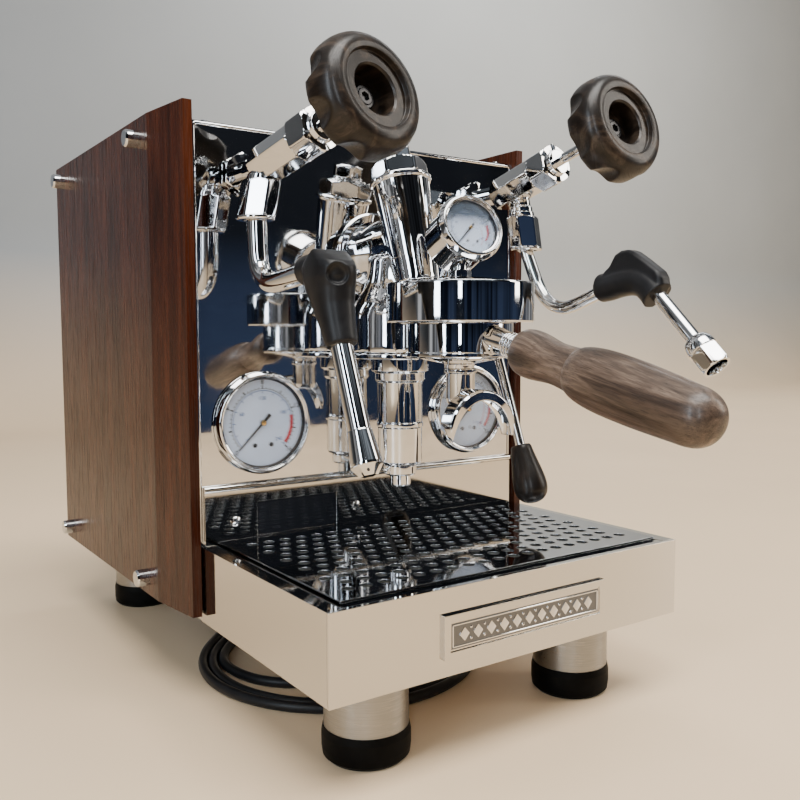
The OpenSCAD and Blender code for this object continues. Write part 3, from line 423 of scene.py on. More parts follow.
SIDES = ("steam", "water")
GAUGE_R = {"left": 34.8, "right": 34.8, "group": 22}
GAUGE_SINK = {"left": 0, "right": 0, "group": -5.5}
GAUGES = {side: joint_frame(side + "_needle_turn") @ at((0, 0, GAUGE_SINK[side])) for side in GAUGE_R}
VALVES = {side: joint_frame(side + "_knob_turn") for side in SIDES}
REACH = {"steam": 60, "water": 75}
BALLS = {side: joint_place(side + "_wand_swing") for side in SIDES}
BALL_R = 8.5
OUTLETS = {side: joint_frame(side + "_wand_swing") @ at((0, 0, 21)) for side in SIDES}
BELL = joint_place("portafilter_turn")
CAM = joint_place("brew_lever")
CAM_SHAFT = at((0, CAM.y, CAM.z), ("Y", 90))
LEVER = at((0, CAM.y, CAM.z), ("X", 69))
LEVER_X, LEVER_BEND, LEVER_ROD = 77, 16, 70
CHAMBER_Y = -36
TUBE = at((0, -38, 346), ("X", -16))
HANDLE = at((0, -161, 234.4), ("X", 104))
HANDLE_L = 138
KNOB_R = 35


# ---------- outlines and routes ----------

def bezier(a, b, c, d, steps=10):
    """The points after a on a cubic curve from a to d."""
    a, b, c, d = (Vector(p) for p in (a, b, c, d))
    shares = [k / steps for k in range(1, steps + 1)]
    return [a * (1 - t) ** 3 + b * 3 * t * (1 - t) ** 2 + c * 3 * t * t * (1 - t) + d * t ** 3 for t in shares]


def rounded(corners):
    """An outline of (radius, height) points, where a third number has rounded its corner with an arc."""
    points = []
    for i, corner in enumerate(corners):
        here = Vector(corner[:2])
        if len(corner) < 3:
            points.append(here)
            continue
        back = (Vector(corners[i - 1][:2]) - here).normalized()
        ahead = (Vector(corners[(i + 1) % len(corners)][:2]) - here).normalized()
        half = back.angle(ahead) / 2
        centre = here + (back + ahead).normalized() * corner[2] / sin(half)
        start = here + back * corner[2] / tan(half) - centre
        turn = start.angle_signed(here + ahead * corner[2] / tan(half) - centre)
        for k in range(7):
            c, s = cos(-turn * k / 6), sin(-turn * k / 6)
            points.append(centre + Vector((start.x * c - start.y * s, start.x * s + start.y * c)))
    return points


def through(points, steps=8):
    """A smooth run through a list of points, as part.scad draws it."""
    points = [Vector(p) for p in points]
    run = [points[0]] + points + [points[-1]]
    made = []
    for a, b, c, d in zip(run, run[1:], run[2:], run[3:]):
        for k in range(steps):
            t = k / steps
            made.append(0.5 * (2 * b + (c - a) * t + (2 * a - 5 * b + 4 * c - d) * t * t
                               + (3 * b - a - 3 * c + d) * t ** 3))
    return made + [points[-1]]


def hexagon(flats, bottom, top, edge=None):
    """The radius of a hexagonal bar whose corners are a little rounded and chamfered at both ends."""
    edge = edge or flats / 2 * 1.01

    def shape(angle, radius, height):
        spread = sum(max(0.0, cos(angle - k * pi / 3)) ** 70 for k in range(6)) ** (1 / 70)
        return min(radius, flats / 2 / spread, edge + 1.7 * min(height - bottom, top - height))
    return shape


# ---------- shells and pieces ----------

class Shape:
    """Closed shells gathered in mm, which become one mesh."""

    def __init__(self):
        self.vertices = []
        self.faces = []

    def rings(self, rings, closed=False):
        """A skin over rings with as many points each; closed joins the last ring to the first."""
        first, sides = len(self.vertices), len(rings[0])
        for ring in rings:
            self.vertices.extend(ring)
        for i in range(len(rings) if closed else len(rings) - 1):
            a, b = first + i * sides, first + (i + 1) % len(rings) * sides
            for k in range(sides):
                n = (k + 1) % sides
                self.faces.append((a + k, a + n, b + n, b + k))
        if not closed:
            last = first + (len(rings) - 1) * sides
            self.faces.append(tuple(range(first, first + sides)))
            self.faces.append(tuple(range(last, last + sides)))
        return self

    def turned(self, outline, local=Matrix(), steps=96, shape=None):
        """A lathe shape about the frame's Z. shape(angle, radius, height) may change a radius."""
        angles = [2 * pi * k / steps for k in range(steps)]
        rings = []
        for radius, height in rounded(outline):
            reach = [shape(a, radius, height) if shape and radius > 0 else radius for a in angles]
            rings.append([local @ Vector((r * cos(a), r * sin(a), height)) for a, r in zip(angles, reach)])
        return self.rings(rings, outline[0][0] > 0 and outline[-1][0] > 0)

    def nut(self, flats, bottom, top, local=Matrix(), edge=None):
        """A hexagonal nut with chamfered ends."""
        heights = [bottom, bottom + 0.35, bottom + 0.8, bottom + 1.5, bottom + 2.4]
        heights += [top + bottom - h for h in reversed(heights)]
        outline = [(0, bottom)] + [(flats, h) for h in heights] + [(0, top)]
        return self.turned(outline, local, 144, hexagon(flats, bottom, top, edge))

    def swept(self, route, radius, sides=32):
        """A round bar along a route. radius is a number, or a function of the share of the route."""
        count = len(route)
        rings = []
        side = None
        for i, place in enumerate(route):
            ahead = (route[min(i + 1, count - 1)] - route[max(i - 1, 0)]).normalized()
            side = ahead.orthogonal() if side is None else side - ahead * side.dot(ahead)
            side.normalize()
            other = ahead.cross(side)
            r = radius(i / (count - 1)) if callable(radius) else radius
            angles = [2 * pi * k / sides for k in range(sides)]
            rings.append([place + (side * cos(a) + other * sin(a)) * r for a in angles])
        return self.rings(rings)

    def loft(self, sections, sides=64):
        """A skin over ovals: (centre, half width as a vector, half height as a vector, squareness)."""
        rings = []
        for centre, wide, high, power in sections:
            ring = []
            for k in range(sides):
                c, s = cos(2 * pi * k / sides), sin(2 * pi * k / sides)
                c, s = (abs(v) ** (2 / power) * (1 if v > 0 else -1) for v in (c, s))
                ring.append(Vector(centre) + Vector(wide) * c + Vector(high) * s)
            rings.append(ring)
        return self.rings(rings)

    def block(self, low, high, edge=0.15):
        """A flat block whose front edges, towards -Y, are chamfered."""
        rings = []
        for y, inset in ((high[1], 0), (low[1] + edge, 0), (low[1], edge)):
            x0, x1, z0, z1 = low[0] + inset, high[0] - inset, low[2] + inset, high[2] - inset
            rings.append([Vector(p) for p in ((x0, y, z0), (x1, y, z0), (x1, y, z1), (x0, y, z1))])
        return self.rings(rings)

    def mesh(self, name, sharp=32):
        data = bpy.data.meshes.new(name)
        data.from_pydata([v * MM for v in self.vertices], [], self.faces)
        edit = bmesh.new()
        edit.from_mesh(data)
        bmesh.ops.remove_doubles(edit, verts=edit.verts, dist=2e-6)
        bmesh.ops.recalc_face_normals(edit, faces=edit.faces)
        edit.to_mesh(data)
        edit.free()
        data.shade_smooth()
        data.set_sharp_from_angle(angle=radians(sharp))
        return data

    def cast(self, name, voxel, rounds):
        """The shells joined into one skin and softened, so that they meet in fillets."""
        rough = link(bpy.data.objects.new(name, self.mesh(name + "_shells")))
        skin = rough.modifiers.new("skin", "REMESH")
        skin.mode = "VOXEL"
        skin.voxel_size = voxel * MM
        soft = rough.modifiers.new("soft", "SMOOTH")
        soft.iterations = rounds
        data = evaluated_mesh(rough)
        bpy.data.objects.remove(rough)
        data.shade_smooth()
        return data


def evaluated_mesh(thing):
    return bpy.data.meshes.new_from_object(thing.evaluated_get(bpy.context.evaluated_depsgraph_get()))


def piece(name, shape, body, *replaced, look="mirror_chrome", sharp=32):
    """One Blender piece from a Shape or a finished mesh, on its body, with its look."""
    data = shape.mesh(name, sharp) if isinstance(shape, Shape) else shape
    data.materials.clear()
    data.materials.append(LOOKS[look].material)
    made = link(bpy.data.objects.new(name, data))
    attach(made, body)
    if replaced:
        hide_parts(*replaced)
    return made


# ---------- valves and knobs ----------

def knob_outline():
    """From the rear face round the rim to the stepped recess in front."""
    r = KNOB_R
    return ([(3.9, -24), (r - 12, -24)]
            + bezier((r - 12, -24), (r - 2.5, -24), (r, -22), (r, -15), 16)
            + bezier((r, -15), (r, -5), (r - 4, 0), (r - 10, 0), 24)
            + [(22.4, -0.3, 0.5), (21.9, -3.4, 0.5), (15.2, -3.0, 0.6), (14, -4.2, 0.5),
               (14, -16.4), (3.9, -16.4)])


def scooped(angle, radius, height):
    """Eight finger scoops, cut from behind by leaning round cutters, with softened edges."""
    if radius < 15:
        return radius
    lean, cutter, soft = radians(18), 11.5, 0.7
    turn = angle % (pi / 4) - pi / 8
    far = KNOB_R + 5.5 + tan(lean) * (height + 23)
    side = far * sin(turn)
    if abs(side) >= cutter:
        return radius
    cut = far * cos(turn) - sqrt(cutter * cutter - side * side)
    blend = max(soft - abs(radius - cut), 0) / soft
    return min(radius, cut) - blend * blend * soft / 4


def socket(angle, radius, height):
    """A 5 mm hexagonal key hole."""
    return hexagon(5, -inf, inf)(angle, radius, height) if radius < 3.2 else radius


def make_valve(side):
    """One valve: body with its nuts, stem, walnut knob and the screw that holds it."""
    local, outlet, body = VALVES[side], OUTLETS[side], side + "_valve_knob"
    shell = Shape()
    shell.nut(22, -52, -10, local @ Matrix.Rotation(radians(30), 4, "Z"))
    shell.turned([(0, -11), (11.2, -11), (11.2, -8.5, 0.4), (0, -8.5)], local)
    shell.nut(26, -8.6, 8, local)
    shell.turned([(0, 7), (10, 7), (9.4, 9, 0.5), (8.8, 11.2, 0.7), (4.3, 11.2), (0, 11.2)], local)
    tail = local @ Vector((0, 0, -47))
    neck = 3 - tail.y
    shell.turned([(0, 0), (7, 0), (7, neck), (0, neck)], at((tail.x, 3, tail.z), ("X", 90)), 48)
    shell.nut(24, 0.2, 6, at((tail.x, 0, tail.z), ("X", 90)))
    shell.turned([(0, -2), (9.4, -2, 0.5), (9.4, 1.4, 0.6), (7.4, 2.4, 0.6), (7.4, 12), (0, 12)], outlet)
    shell.turned([(0, 2), (8.6, 2), (8.6, 5, 0.6), (7.4, 6.2, 0.6), (7.4, 8), (0, 8)], outlet)
    piece(side + "_valve_body", shell, "case", "valve_bodies")

    front = local @ at((0, 0, REACH[side]))
    root = -30 - REACH[side]
    stem = [(0, root), (3.6, root), (3.6, -27, 0.4), (8, -26.6, 0.4), (8, -24), (3.6, -24), (3.6, -16.4),
            (0, -16.4)]
    piece(side + "_valve_stem", Shape().turned(stem, front, 48), body, side + "_stem")
    screw = [(0, -13.6), (3, -13.6), (3, -11.8), (4.6, -11.8, 0.2), (4.9, -12.4, 0.2), (6.6, -12.4, 0.8),
             (7.2, -14, 0.3), (7.2, -16.4), (0, -16.4)]
    piece(side + "_knob_screw", Shape().turned(screw, front, 72, socket), body, side + "_stem", look="black_screw")
    knob = Shape().turned(knob_outline(), front, 256, scooped)
    piece(side + "_knob_wood", knob, body, side + "_knob", look=side + "_knob_walnut", sharp=50)

    nut = Shape().nut(21.5, -25.6, -2, outlet)
    nut.turned([(7.9, -27), (11.4, -27, 0.7), (12, -26, 0.5), (12, -24.8, 0.4), (10.6, -24.2),
                (10.2, -23), (7.9, -23)], outlet)
    piece(side + "_ball_nut", nut, "case", "ball_nuts")


# ---------- wands ----------

# (y, z) from the ball's centre
STEAM_ROUTE = [(0, -6), (-1, -26), (-4, -36), (-12, -43), (-24, -45), (-58, -42), (-70, -40), (-79, -41),
               (-86, -47.5), (-91, -58), (-119, -128)]
WATER_ROUTE = [(-1, -6.5), (-11, -27), (-18, -38), (-27, -46), (-38, -49.5), (-50, -48.5), (-76, -40),
               (-94, -33.5), (-104, -32), (-114, -35), (-122, -42), (-155, -75)]
WATER_ARCH = [(-77, -37.4), (-84, -37.0), (-94, -35), (-104, -34.2), (-112, -35.6), (-118.5, -39.4), (-124, -44.5)]
WATER_FIN = [(-77.5, -37), (-79, -31.5), (-82, -27), (-86.5, -23.6), (-89, -19.5), (-91.5, -16), (-96, -13.8),
             (-102, -13.4), (-107, -15), (-113, -18.8), (-120, -23.6), (-127.5, -29), (-130, -33),
             (-130.4, -38), (-127.5, -44), (-118, -38), (-104, -33), (-90, -35)]
# The steam grip from its lower end up: y, z, half width, half height, squareness, lean
STEAM_SLEEVE = [(-101.6, -82.5, 8.2, 8.0, 2, 0.37), (-101.2, -81.5, 8.8, 8.6, 2, 0.37),
                (-97.5, -72, 9.6, 9.8, 2.1, 0.34), (-93.5, -62, 10.6, 12.0, 2.2, 0.28),
                (-90.5, -53, 11.6, 15.0, 2.3, 0.18), (-89, -46, 12.3, 17.6, 2.4, 0.08),
                (-88.5, -40.5, 12.2, 18.0, 2.5, 0), (-88.5, -37.2, 11.8, 15.0, 2.6, 0),
                (-88.5, -34, 11.2, 8.6, 2.8, 0), (-88.5, -30.8, 10.6, 0.8, 3.0, 0)]


def wand_points(side, route):
    return [BALLS[side] + Vector((0, y, z)) for y, z in route]


def make_wand(side, route, radius):
    """A chromed tube that ends in its ball."""
    tube = Shape().swept(through(wand_points(side, route)), radius)
    half_turn = [pi * k / 40 for k in range(41)]
    tube.turned([(BALL_R * sin(a), -BALL_R * cos(a)) for a in half_turn], at(BALLS[side]), 64)
    piece(side + "_wand_tube", tube, side + "_wand", side + "_wand")


def make_steam_wand():
    """The wand, its tip with a faceted point, and dark discs of painted shade at its four jet holes."""
    make_wand("steam", STEAM_ROUTE, 6.2)
    end = wand_points("steam", STEAM_ROUTE)[-1]
    run = Vector((0, -28, -70)).normalized()
    tip = along(end - run * 2, run)

    def facets(angle, radius, height):
        if height <= 18.9:
            return radius
        return min(radius, 7.6 / cos((angle + pi / 6) % (pi / 3) - pi / 6) - (height - 19) * 0.72)
    cone = [(0, 0), (6.5, 0, 0.3), (6.7, 0.8, 0.2), (8.6, 17.6, 0.8), (8.6, 18.9)]
    cone += [(8.6, 19 + 0.3 * k) for k in range(19)] + [(0, 24.4)]
    piece("steam_tip_cone", Shape().turned(cone, tip, 144, facets), "steam_wand", "steam_tip", sharp=24)
    # Four flat dark discs of painted shade stand where the jet holes are; the holes are not cut.
    hole_shades = Shape()
    for k in range(4):
        around = tip @ Matrix.Rotation(pi / 2 * k + 0.5, 4, "Z")
        hole_shades.turned([(0, 0), (0.75, 0), (0.75, 0.25), (0, 0.25)], around @ at((5.7, 0, 22.1), ("Y", 36)), 20)
    piece("steam_tip_hole_shades", hole_shades, "steam_wand", look="dial_ink")


def make_steam_grip():
    """A rubber sleeve over the steam wand's knee: a ridged head with a finger dimple, and a tapered leg."""
    ball = BALLS["steam"]
    sleeve = Shape()
    sleeve.loft([(ball + Vector((0, y, z)), (wide, 0, 0), Vector((0, -cos(lean), sin(lean))) * high, power)
                 for y, z, wide, high, power, lean in STEAM_SLEEVE])
    sleeve.swept(wand_points("steam", ((-64.5, -41.2), (-70, -40.6), (-80, -41))), 9.0)
    data = sleeve.cast("steam_grip_sleeve", 0.8, 3)
    centre = ball + Vector((-4.2, -105.0, -44.5))
    inward = Vector((0.42, 0.90, -0.12)).normalized()
    dimple_r, dimple_depth = 5.9, 3.4
    for vertex in data.vertices:
        gap = vertex.co / MM - centre
        depth = gap.dot(inward)
        spread = (gap - inward * depth).length / dimple_r
        if spread < 1 and abs(depth) < 8:
            vertex.co += inward * dimple_depth * MM * (1 - spread ** 5)
    piece("steam_grip_sleeve", data, "steam_wand", "steam_grip", look="black_rubber")


def make_water_wand():
    """The wand and its nozzle: a dome, half a hexagon, and an open end."""
    make_wand("water", WATER_ROUTE, 4.8)
    end = wand_points("water", WATER_ROUTE)[-1]
    run = Vector((0, -1, -1)).normalized()

    def half_hex(angle, radius, height):
        return hexagon(17.4, 10.2, 60, 9.2)(angle, radius, height) if 10.1 < height and radius > 7.6 else radius
    outline = [(0, 0), (5.6, 0, 0.4), (6.2, 0.6)] + bezier((6.2, 0.6), (8.8, 1.4), (9.7, 4.6), (9.7, 9.9), 12)
    outline += [(9.7, 10.2), (12, 10.6), (12, 11), (12, 12), (12, 22.4), (9.3, 23.4), (8.9, 24), (7.3, 24),
                (7.1, 23.4), (7.1, 15), (0, 15)]
    nozzle = Shape().turned(outline, along(end - run * 4, run), 144, half_hex)
    piece("water_nozzle_shell", nozzle, "water_wand", "water_nozzle", sharp=24)


def make_water_grip():
    """A smooth rubber sleeve over the arch of the water wand, with a tall rounded fin for the thumb."""
    arch = through(wand_points("water", WATER_ARCH))
    sleeve = Shape().swept(arch, lambda share: 9.2 + 0.9 * (2 * share - 1) ** 4 + 0.6 * share)
    middle = Vector((0, -104, -28))
    for inset, half in ((0.0, 4.2), (1.4, 6.0)):
        ring = [Vector((0, y, z)) for y, z in WATER_FIN]
        ring = [BALLS["water"] + p + (middle - p).normalized() * inset for p in ring]
        sleeve.rings([[p + Vector((x, 0, 0)) for p in ring] for x in (-half, half)])
    data = sleeve.cast("water_grip_sleeve", 0.8, 9)
    piece("water_grip_sleeve", data, "water_wand", "water_grip", look="black_rubber")


# ---------- wooden handles and the lever ----------

def make_portafilter_handle():
    """A waisted neck, a shallow step, and a full grip with a domed end."""
    outline = [(0, 0)] + rounded([(0, 0), (9.5, 0, 0.6), (11, 0.4)])[1:-1]
    outline += bezier((9.5, 0.2), (12.8, 0.4), (14.2, 4), (14.2, 9.5), 12)
    outline += bezier((14.2, 9.5), (14.2, 17), (12.1, 24), (12.0, 31), 12)
    outline += bezier((12.0, 31), (12.0, 37), (12.6, 42), (13.1, 46), 10) + [(13.5, 46.3)]
    outline += bezier((13.6, 46.6), (15.8, 50), (17.2, 60), (17.2, 74), 16)
    end = HANDLE_L - 0.2
    outline += bezier((17.2, 74), (17.2, 95), (15.9, 108), (15.2, end - 15.8), 16)
    outline += bezier((15.2, end - 15.8), (14.6, end - 4.5), (8.4, end), (0, end), 16)
    wood = Shape().turned(outline, HANDLE, 128)
    piece("portafilter_handle_wood", wood, "portafilter", "portafilter_handle", look="handle_walnut", sharp=24)


def make_lever():
    """The bent lever rod and its walnut grip, on the cam shaft."""
    bend = [pi / 2 * k / 16 for k in range(17)]
    end = -LEVER_BEND - LEVER_ROD
    route = [(55.4, 0, 0)] + [(LEVER_X - LEVER_BEND + LEVER_BEND * sin(a), -LEVER_BEND + LEVER_BEND * cos(a), 0)
                              for a in bend] + [(LEVER_X, end - 4, 0)]
    rod = Shape().swept([LEVER @ Vector(p) for p in route], 3.4)
    piece("lever_bent_rod", rod, "lever", "lever_rod")
    cam = [(0, -16), (6, -16, 0.5), (6, 43.4), (9.6, 43.4, 0.4), (10, 45, 0.4), (10, 50.8, 0.8),
           (6, 55.4, 1.2), (0, 55.4)]
    piece("lever_cam_boss", Shape().turned(cam, CAM_SHAFT), "lever", "lever_cam")
    outline = [(0, 0), (6.8, 0, 0.5), (7.5, 1.2)] + bezier((7.5, 1.2), (9.2, 14), (12.6, 24), (11.8, 31.5), 16)
    outline += bezier((11.8, 31.5), (11.2, 38), (7.0, 41.8), (0, 41.8), 14)
    grip = Shape().turned(outline, LEVER @ at((LEVER_X, end, 0), ("X", 90)))
    piece("lever_grip_wood", grip, "lever", "lever_grip", look="lever_walnut")


# ---------- brew group ----------

def clear_of_cup(data, gap=35.4):
    """Moves what stands beside the portafilter's cup out of its way, as the casting's relief does."""
    for vertex in data.vertices:
        place = vertex.co / MM
        out = Vector((place.x - BELL.x, place.y - BELL.y))
        if place.z < BELL.z - 0.5 and out.length < gap:
            out = out.normalized() * gap
            vertex.co = Vector((BELL.x + out.x, BELL.y + out.y, place.z)) * MM
    return data


def make_group():
    """The casting with its fillets, and the turned faces and caps that its machining leaves crisp."""
    b, y = BELL.z, CHAMBER_Y
    chamber_axis = at((0, y, 0))
    shells = Shape()
    tower = [(0, 231), (33, 231), (33, 256)] + bezier((33, 256), (33, 268), (22, 272), (20.5, 296), 12)
    shells.turned(tower + [(0, 300)], chamber_axis)
    shells.turned([(0, -72), (14.8, -72), (17.4, -30), (0, -30)], TUBE)
    shells.loft([((0, -3, 300), (25, 0, 0), (0, 0, 25), 2), ((0, -12, 302), (21, 0, 0), (0, 0, 22), 2),
                 ((0, -26, 304), (17, 0, 0), (0, 0, 21), 2.2), ((0, -44, 306), (15, 0, 0), (0, 0, 20), 2.2)])
    shells.loft([((0, BELL.y + 24, b + 13.5), (20, 0, 0), (0, 0, 9), 4),
                 ((0, BELL.y + 40, b + 12), (23, 0, 0), (0, 0, 11), 4), ((0, y - 4, b + 6), (27, 0, 0), (0, 0, 17), 4)])
    shells.turned([(0, 20), (11, 20), (11, 42), (0, 42)], CAM_SHAFT)
    casting = clear_of_cup(shells.cast("group_casting", 1.0, 14))
    piece("group_casting", casting, "case", "group_body", look="cast_chrome")

    faces = Shape()
    bell = [(0, 28), (18, 28)] + bezier((18, 28), (30, 26.5), (40, 24.6), (44.2, 24.0), 8)
    bell += [(45.2, 24.9, 0.3), (46.4, 24.7, 0.4), (46.8, 23.6, 0.4), (46.8, 0.9, 0.5),
             (46.1, 0, 0.4), (37, 0, 0.5), (36, 1.2), (34.6, 1.4), (34.6, 8), (0, 8)]
    faces.turned(bell, at(BELL), 160)
    faces.turned([(0, 226.9), (34.2, 226.9, 0.4), (34.6, 227.6, 0.4), (34.6, 230.3, 0.5), (33.4, 231),
                  (0, 231)], chamber_axis, 128)
    faces.turned([(0, -54), (16.25, -54), (16.2, -54), (19.6, -1, 1), (20, -0.6), (21, -0.4, 0.5),
          (21.4, 0.6, 0.4), (21.4, 2.1, 0.6), (20.2, 3, 0.4), (0, 3)], TUBE, 128)
    faces.turned([(0, 0), (31, 0), (31, 4.2, 1.0), (29.6, 5.2, 0.6), (0, 5.2)], at((0, 0, 300), ("X", 90)), 128)
    faces.turned([(0, 40), (11.4, 40, 0.4), (11.4, 43, 0.5), (6.2, 43, 0.3), (6.2, 41), (0, 41)], CAM_SHAFT)
    machined = clear_of_cup(faces.mesh("group_machined_faces", 24))
    piece("group_machined_faces", machined, "case", "group_body")

    caps = Shape().nut(35, 3, 14.2, TUBE)
    caps.turned([(0, 13), (14.5, 13), (14.5, 14.8, 0.5), (11.2, 15.4, 0.4), (11.2, 17, 0.5), (0, 17)], TUBE)
    caps.nut(20, 16.6, 25, TUBE @ Matrix.Rotation(radians(20), 4, "Z"))
    caps.turned([(0, 24), (8.6, 24)] + bezier((8.6, 24.6), (8.2, 26.2), (4, 26.6), (0, 26.6), 8), TUBE)
    piece("group_hex_caps", caps, "case", "group_caps")

    chamber = [(0, 137.5), (6.6, 137.5, 0.5), (7.4, 138.6, 0.4), (7.4, 145, 0.3), (10.2, 145.2, 0.4),
               (11.6, 146.4, 0.5), (11.6, 152, 0.5), (10.6, 152.6), (10.6, 153.2), (14.2, 153.2, 0.6),
               (15.6, 155, 0.8), (15.6, 178.6, 0.5), (16.4, 179.6, 0.4), (16.4, 182, 0.5), (15.8, 183, 0.4),
               (15.8, 210.4, 0.8), (17.4, 212, 0.6), (17.4, 217, 0.5), (20, 218.6, 0.5), (20, 227), (0, 227)]
    chamber = Shape().turned(chamber, chamber_axis, 112)
    piece("preinfusion_shell", chamber, "case", "preinfusion_chamber", sharp=24)


# ---------- portafilter and spout ----------

def make_portafilter():
    """The cup with its two ears, and the ringed neck that the handle screws on to."""
    b = BELL.z
    cup = Shape()
    cup.turned([(0, 222), (9.6, 222, 0.4), (9.6, 225, 1.2), (22, 227.4, 3), (27, 229, 1), (33.6, 229, 0.5),
                (34.5, 230, 0.4), (34.5, 232, 0.4), (33.9, 233, 0.4), (33.9, b + 10.2, 0.4),
                (30.8, b + 10.6), (30.6, 234.2), (4.5, 234.2), (4.5, 222.5)], at((0, BELL.y, 0)), 144)
    cup.turned([(0, -40), (10, -40), (7.4, -12, 0.5), (6.4, -11), (0, -11)], HANDLE)
    for k in range(5):
        ring = [(0, 0), (6.6, 0), (8.0, 0.5, 0.4), (8.0, 1.7, 0.4), (6.6, 2.3), (0, 2.3)]
        cup.turned(ring, HANDLE @ at((0, 0, -11.6 + 2.35 * k)), 72)
    for turn in (90, 270):
        ear = at((0, BELL.y, b + 6), ("Z", turn))
        cup.loft([(ear @ Vector((x, 0, 2.1)), ear.to_3x3() @ Vector((0, w, 0)), (0, 0, 2.1), 5)
                  for x, w in ((31, 11), (35.6, 11), (36.6, 9.6))], 32)
    piece("portafilter_cup", cup, "portafilter", "portafilter_body", sharp=28)


def make_spout():
    """A double spout: a turned neck, a bridge, and a crescent with a channel under it whose ends taper."""
    y0 = BELL.y
    spout = Shape()
    spout.turned([(0, 199.4), (8.2, 199.4, 1.4), (9.2, 203, 1.0), (9.2, 219, 0.6), (10.4, 219.6, 0.4),
                  (10.4, 221.8, 0.5), (0, 222)], at((0, y0 - 1, 0)), 72)
    spout.loft([((0, y0 - 1, 203.6), (7.6, 0, 0), (0, 0, 4.2), 2.6),
                ((0, y0 - 14, 204), (6.8, 0, 0), (0, 0, 3.8), 2.6)], 40)
    # The crescent's section, as shares of its depth and thickness
    section = [(-1, 0.5), (-0.8, 1), (0.8, 1), (1, 0.5), (1, -1.2), (0.84, -1.35), (0.62, -0.5), (0, 0.1),
               (-0.62, -0.5), (-0.84, -1.35), (-1, -1.2)]
    rings = []
    count = 48
    for k in range(count + 1):
        share = 2 * k / count - 1
        angle = share * radians(97)
        outward = Vector((sin(angle), 0, cos(angle)))
        centre = Vector((0, y0 - 18.7, 182.4)) + outward * 24.2
        deep = 6.6 * (1 - 0.25 * abs(share) ** 3)
        thick = 2.9 * ((1 - abs(share) ** 5) * 0.86 + 0.14)
        rings.append([centre + Vector((0, v * deep, 0)) + outward * r * thick for v, r in section])
    spout.rings(rings)
    made = piece("spout_crescent", spout, "portafilter", "spout", sharp=40)
    edge = made.modifiers.new("edge", "BEVEL")
    edge.width, edge.segments, edge.limit_method = 0.35 * MM, 3, "ANGLE"
    edge.angle_limit = radians(38)


# ---------- gauges ----------

PRINT_H = 0.06


def dial_point(angle, radius, height=0.0):
    return Vector((radius * cos(radians(angle)), radius * sin(radians(angle)), height))


def scale_angle(share):
    """The scale runs clockwise from 225 degrees, through 270."""
    return 225 - 270 * share


def printed(shape, local, corners, low):
    """A thin raised patch of ink."""
    shape.rings([[local @ (p + Vector((0, 0, h))) for p in corners] for h in (low, low + PRINT_H)])


def band(shape, local, inner, outer, first, last, low, steps=60):
    """A printed arc between two shares of the scale."""
    for k in range(steps):
        a, b = (scale_angle(first + (last - first) * (k + j) / steps) for j in (0, 1))
        corners = [dial_point(*place) for place in ((a, inner), (a, outer), (b, outer), (b, inner))]
        printed(shape, local, corners, low)


def ticks(shape, local, inner, outer, count, width, low):
    for k in range(count + 1):
        out = dial_point(scale_angle(k / count), 1)
        side = Vector((-out.y, out.x, 0)) * width / 2
        printed(shape, local, (out * inner - side, out * outer - side, out * outer + side, out * inner + side), low)


def numbers(name, local, values, radius, size, low, look):
    """The numbers of a scale as flat meshes, upright round the dial."""
    joined = bmesh.new()
    for k, value in enumerate(values):
        text = bpy.data.curves.new("number", "FONT")
        text.body = str(value)
        text.size = size * MM
        text.offset = size * 0.012 * MM
        text.align_x, text.align_y = "CENTER", "CENTER"
        text.extrude = PRINT_H / 2 * MM
        holder = link(bpy.data.objects.new("number", text))
        mesh = evaluated_mesh(holder)
        place = local @ at(dial_point(scale_angle(k / (len(values) - 1)), radius, low))
        place.translation *= MM
        mesh.transform(place)
        joined.from_mesh(mesh)
        bpy.data.meshes.remove(mesh)
        bpy.data.objects.remove(holder)
        bpy.data.curves.remove(text)
    data = bpy.data.meshes.new(name)
    joined.to_mesh(data)
    joined.free()
    piece(name, data, "case", look=look)


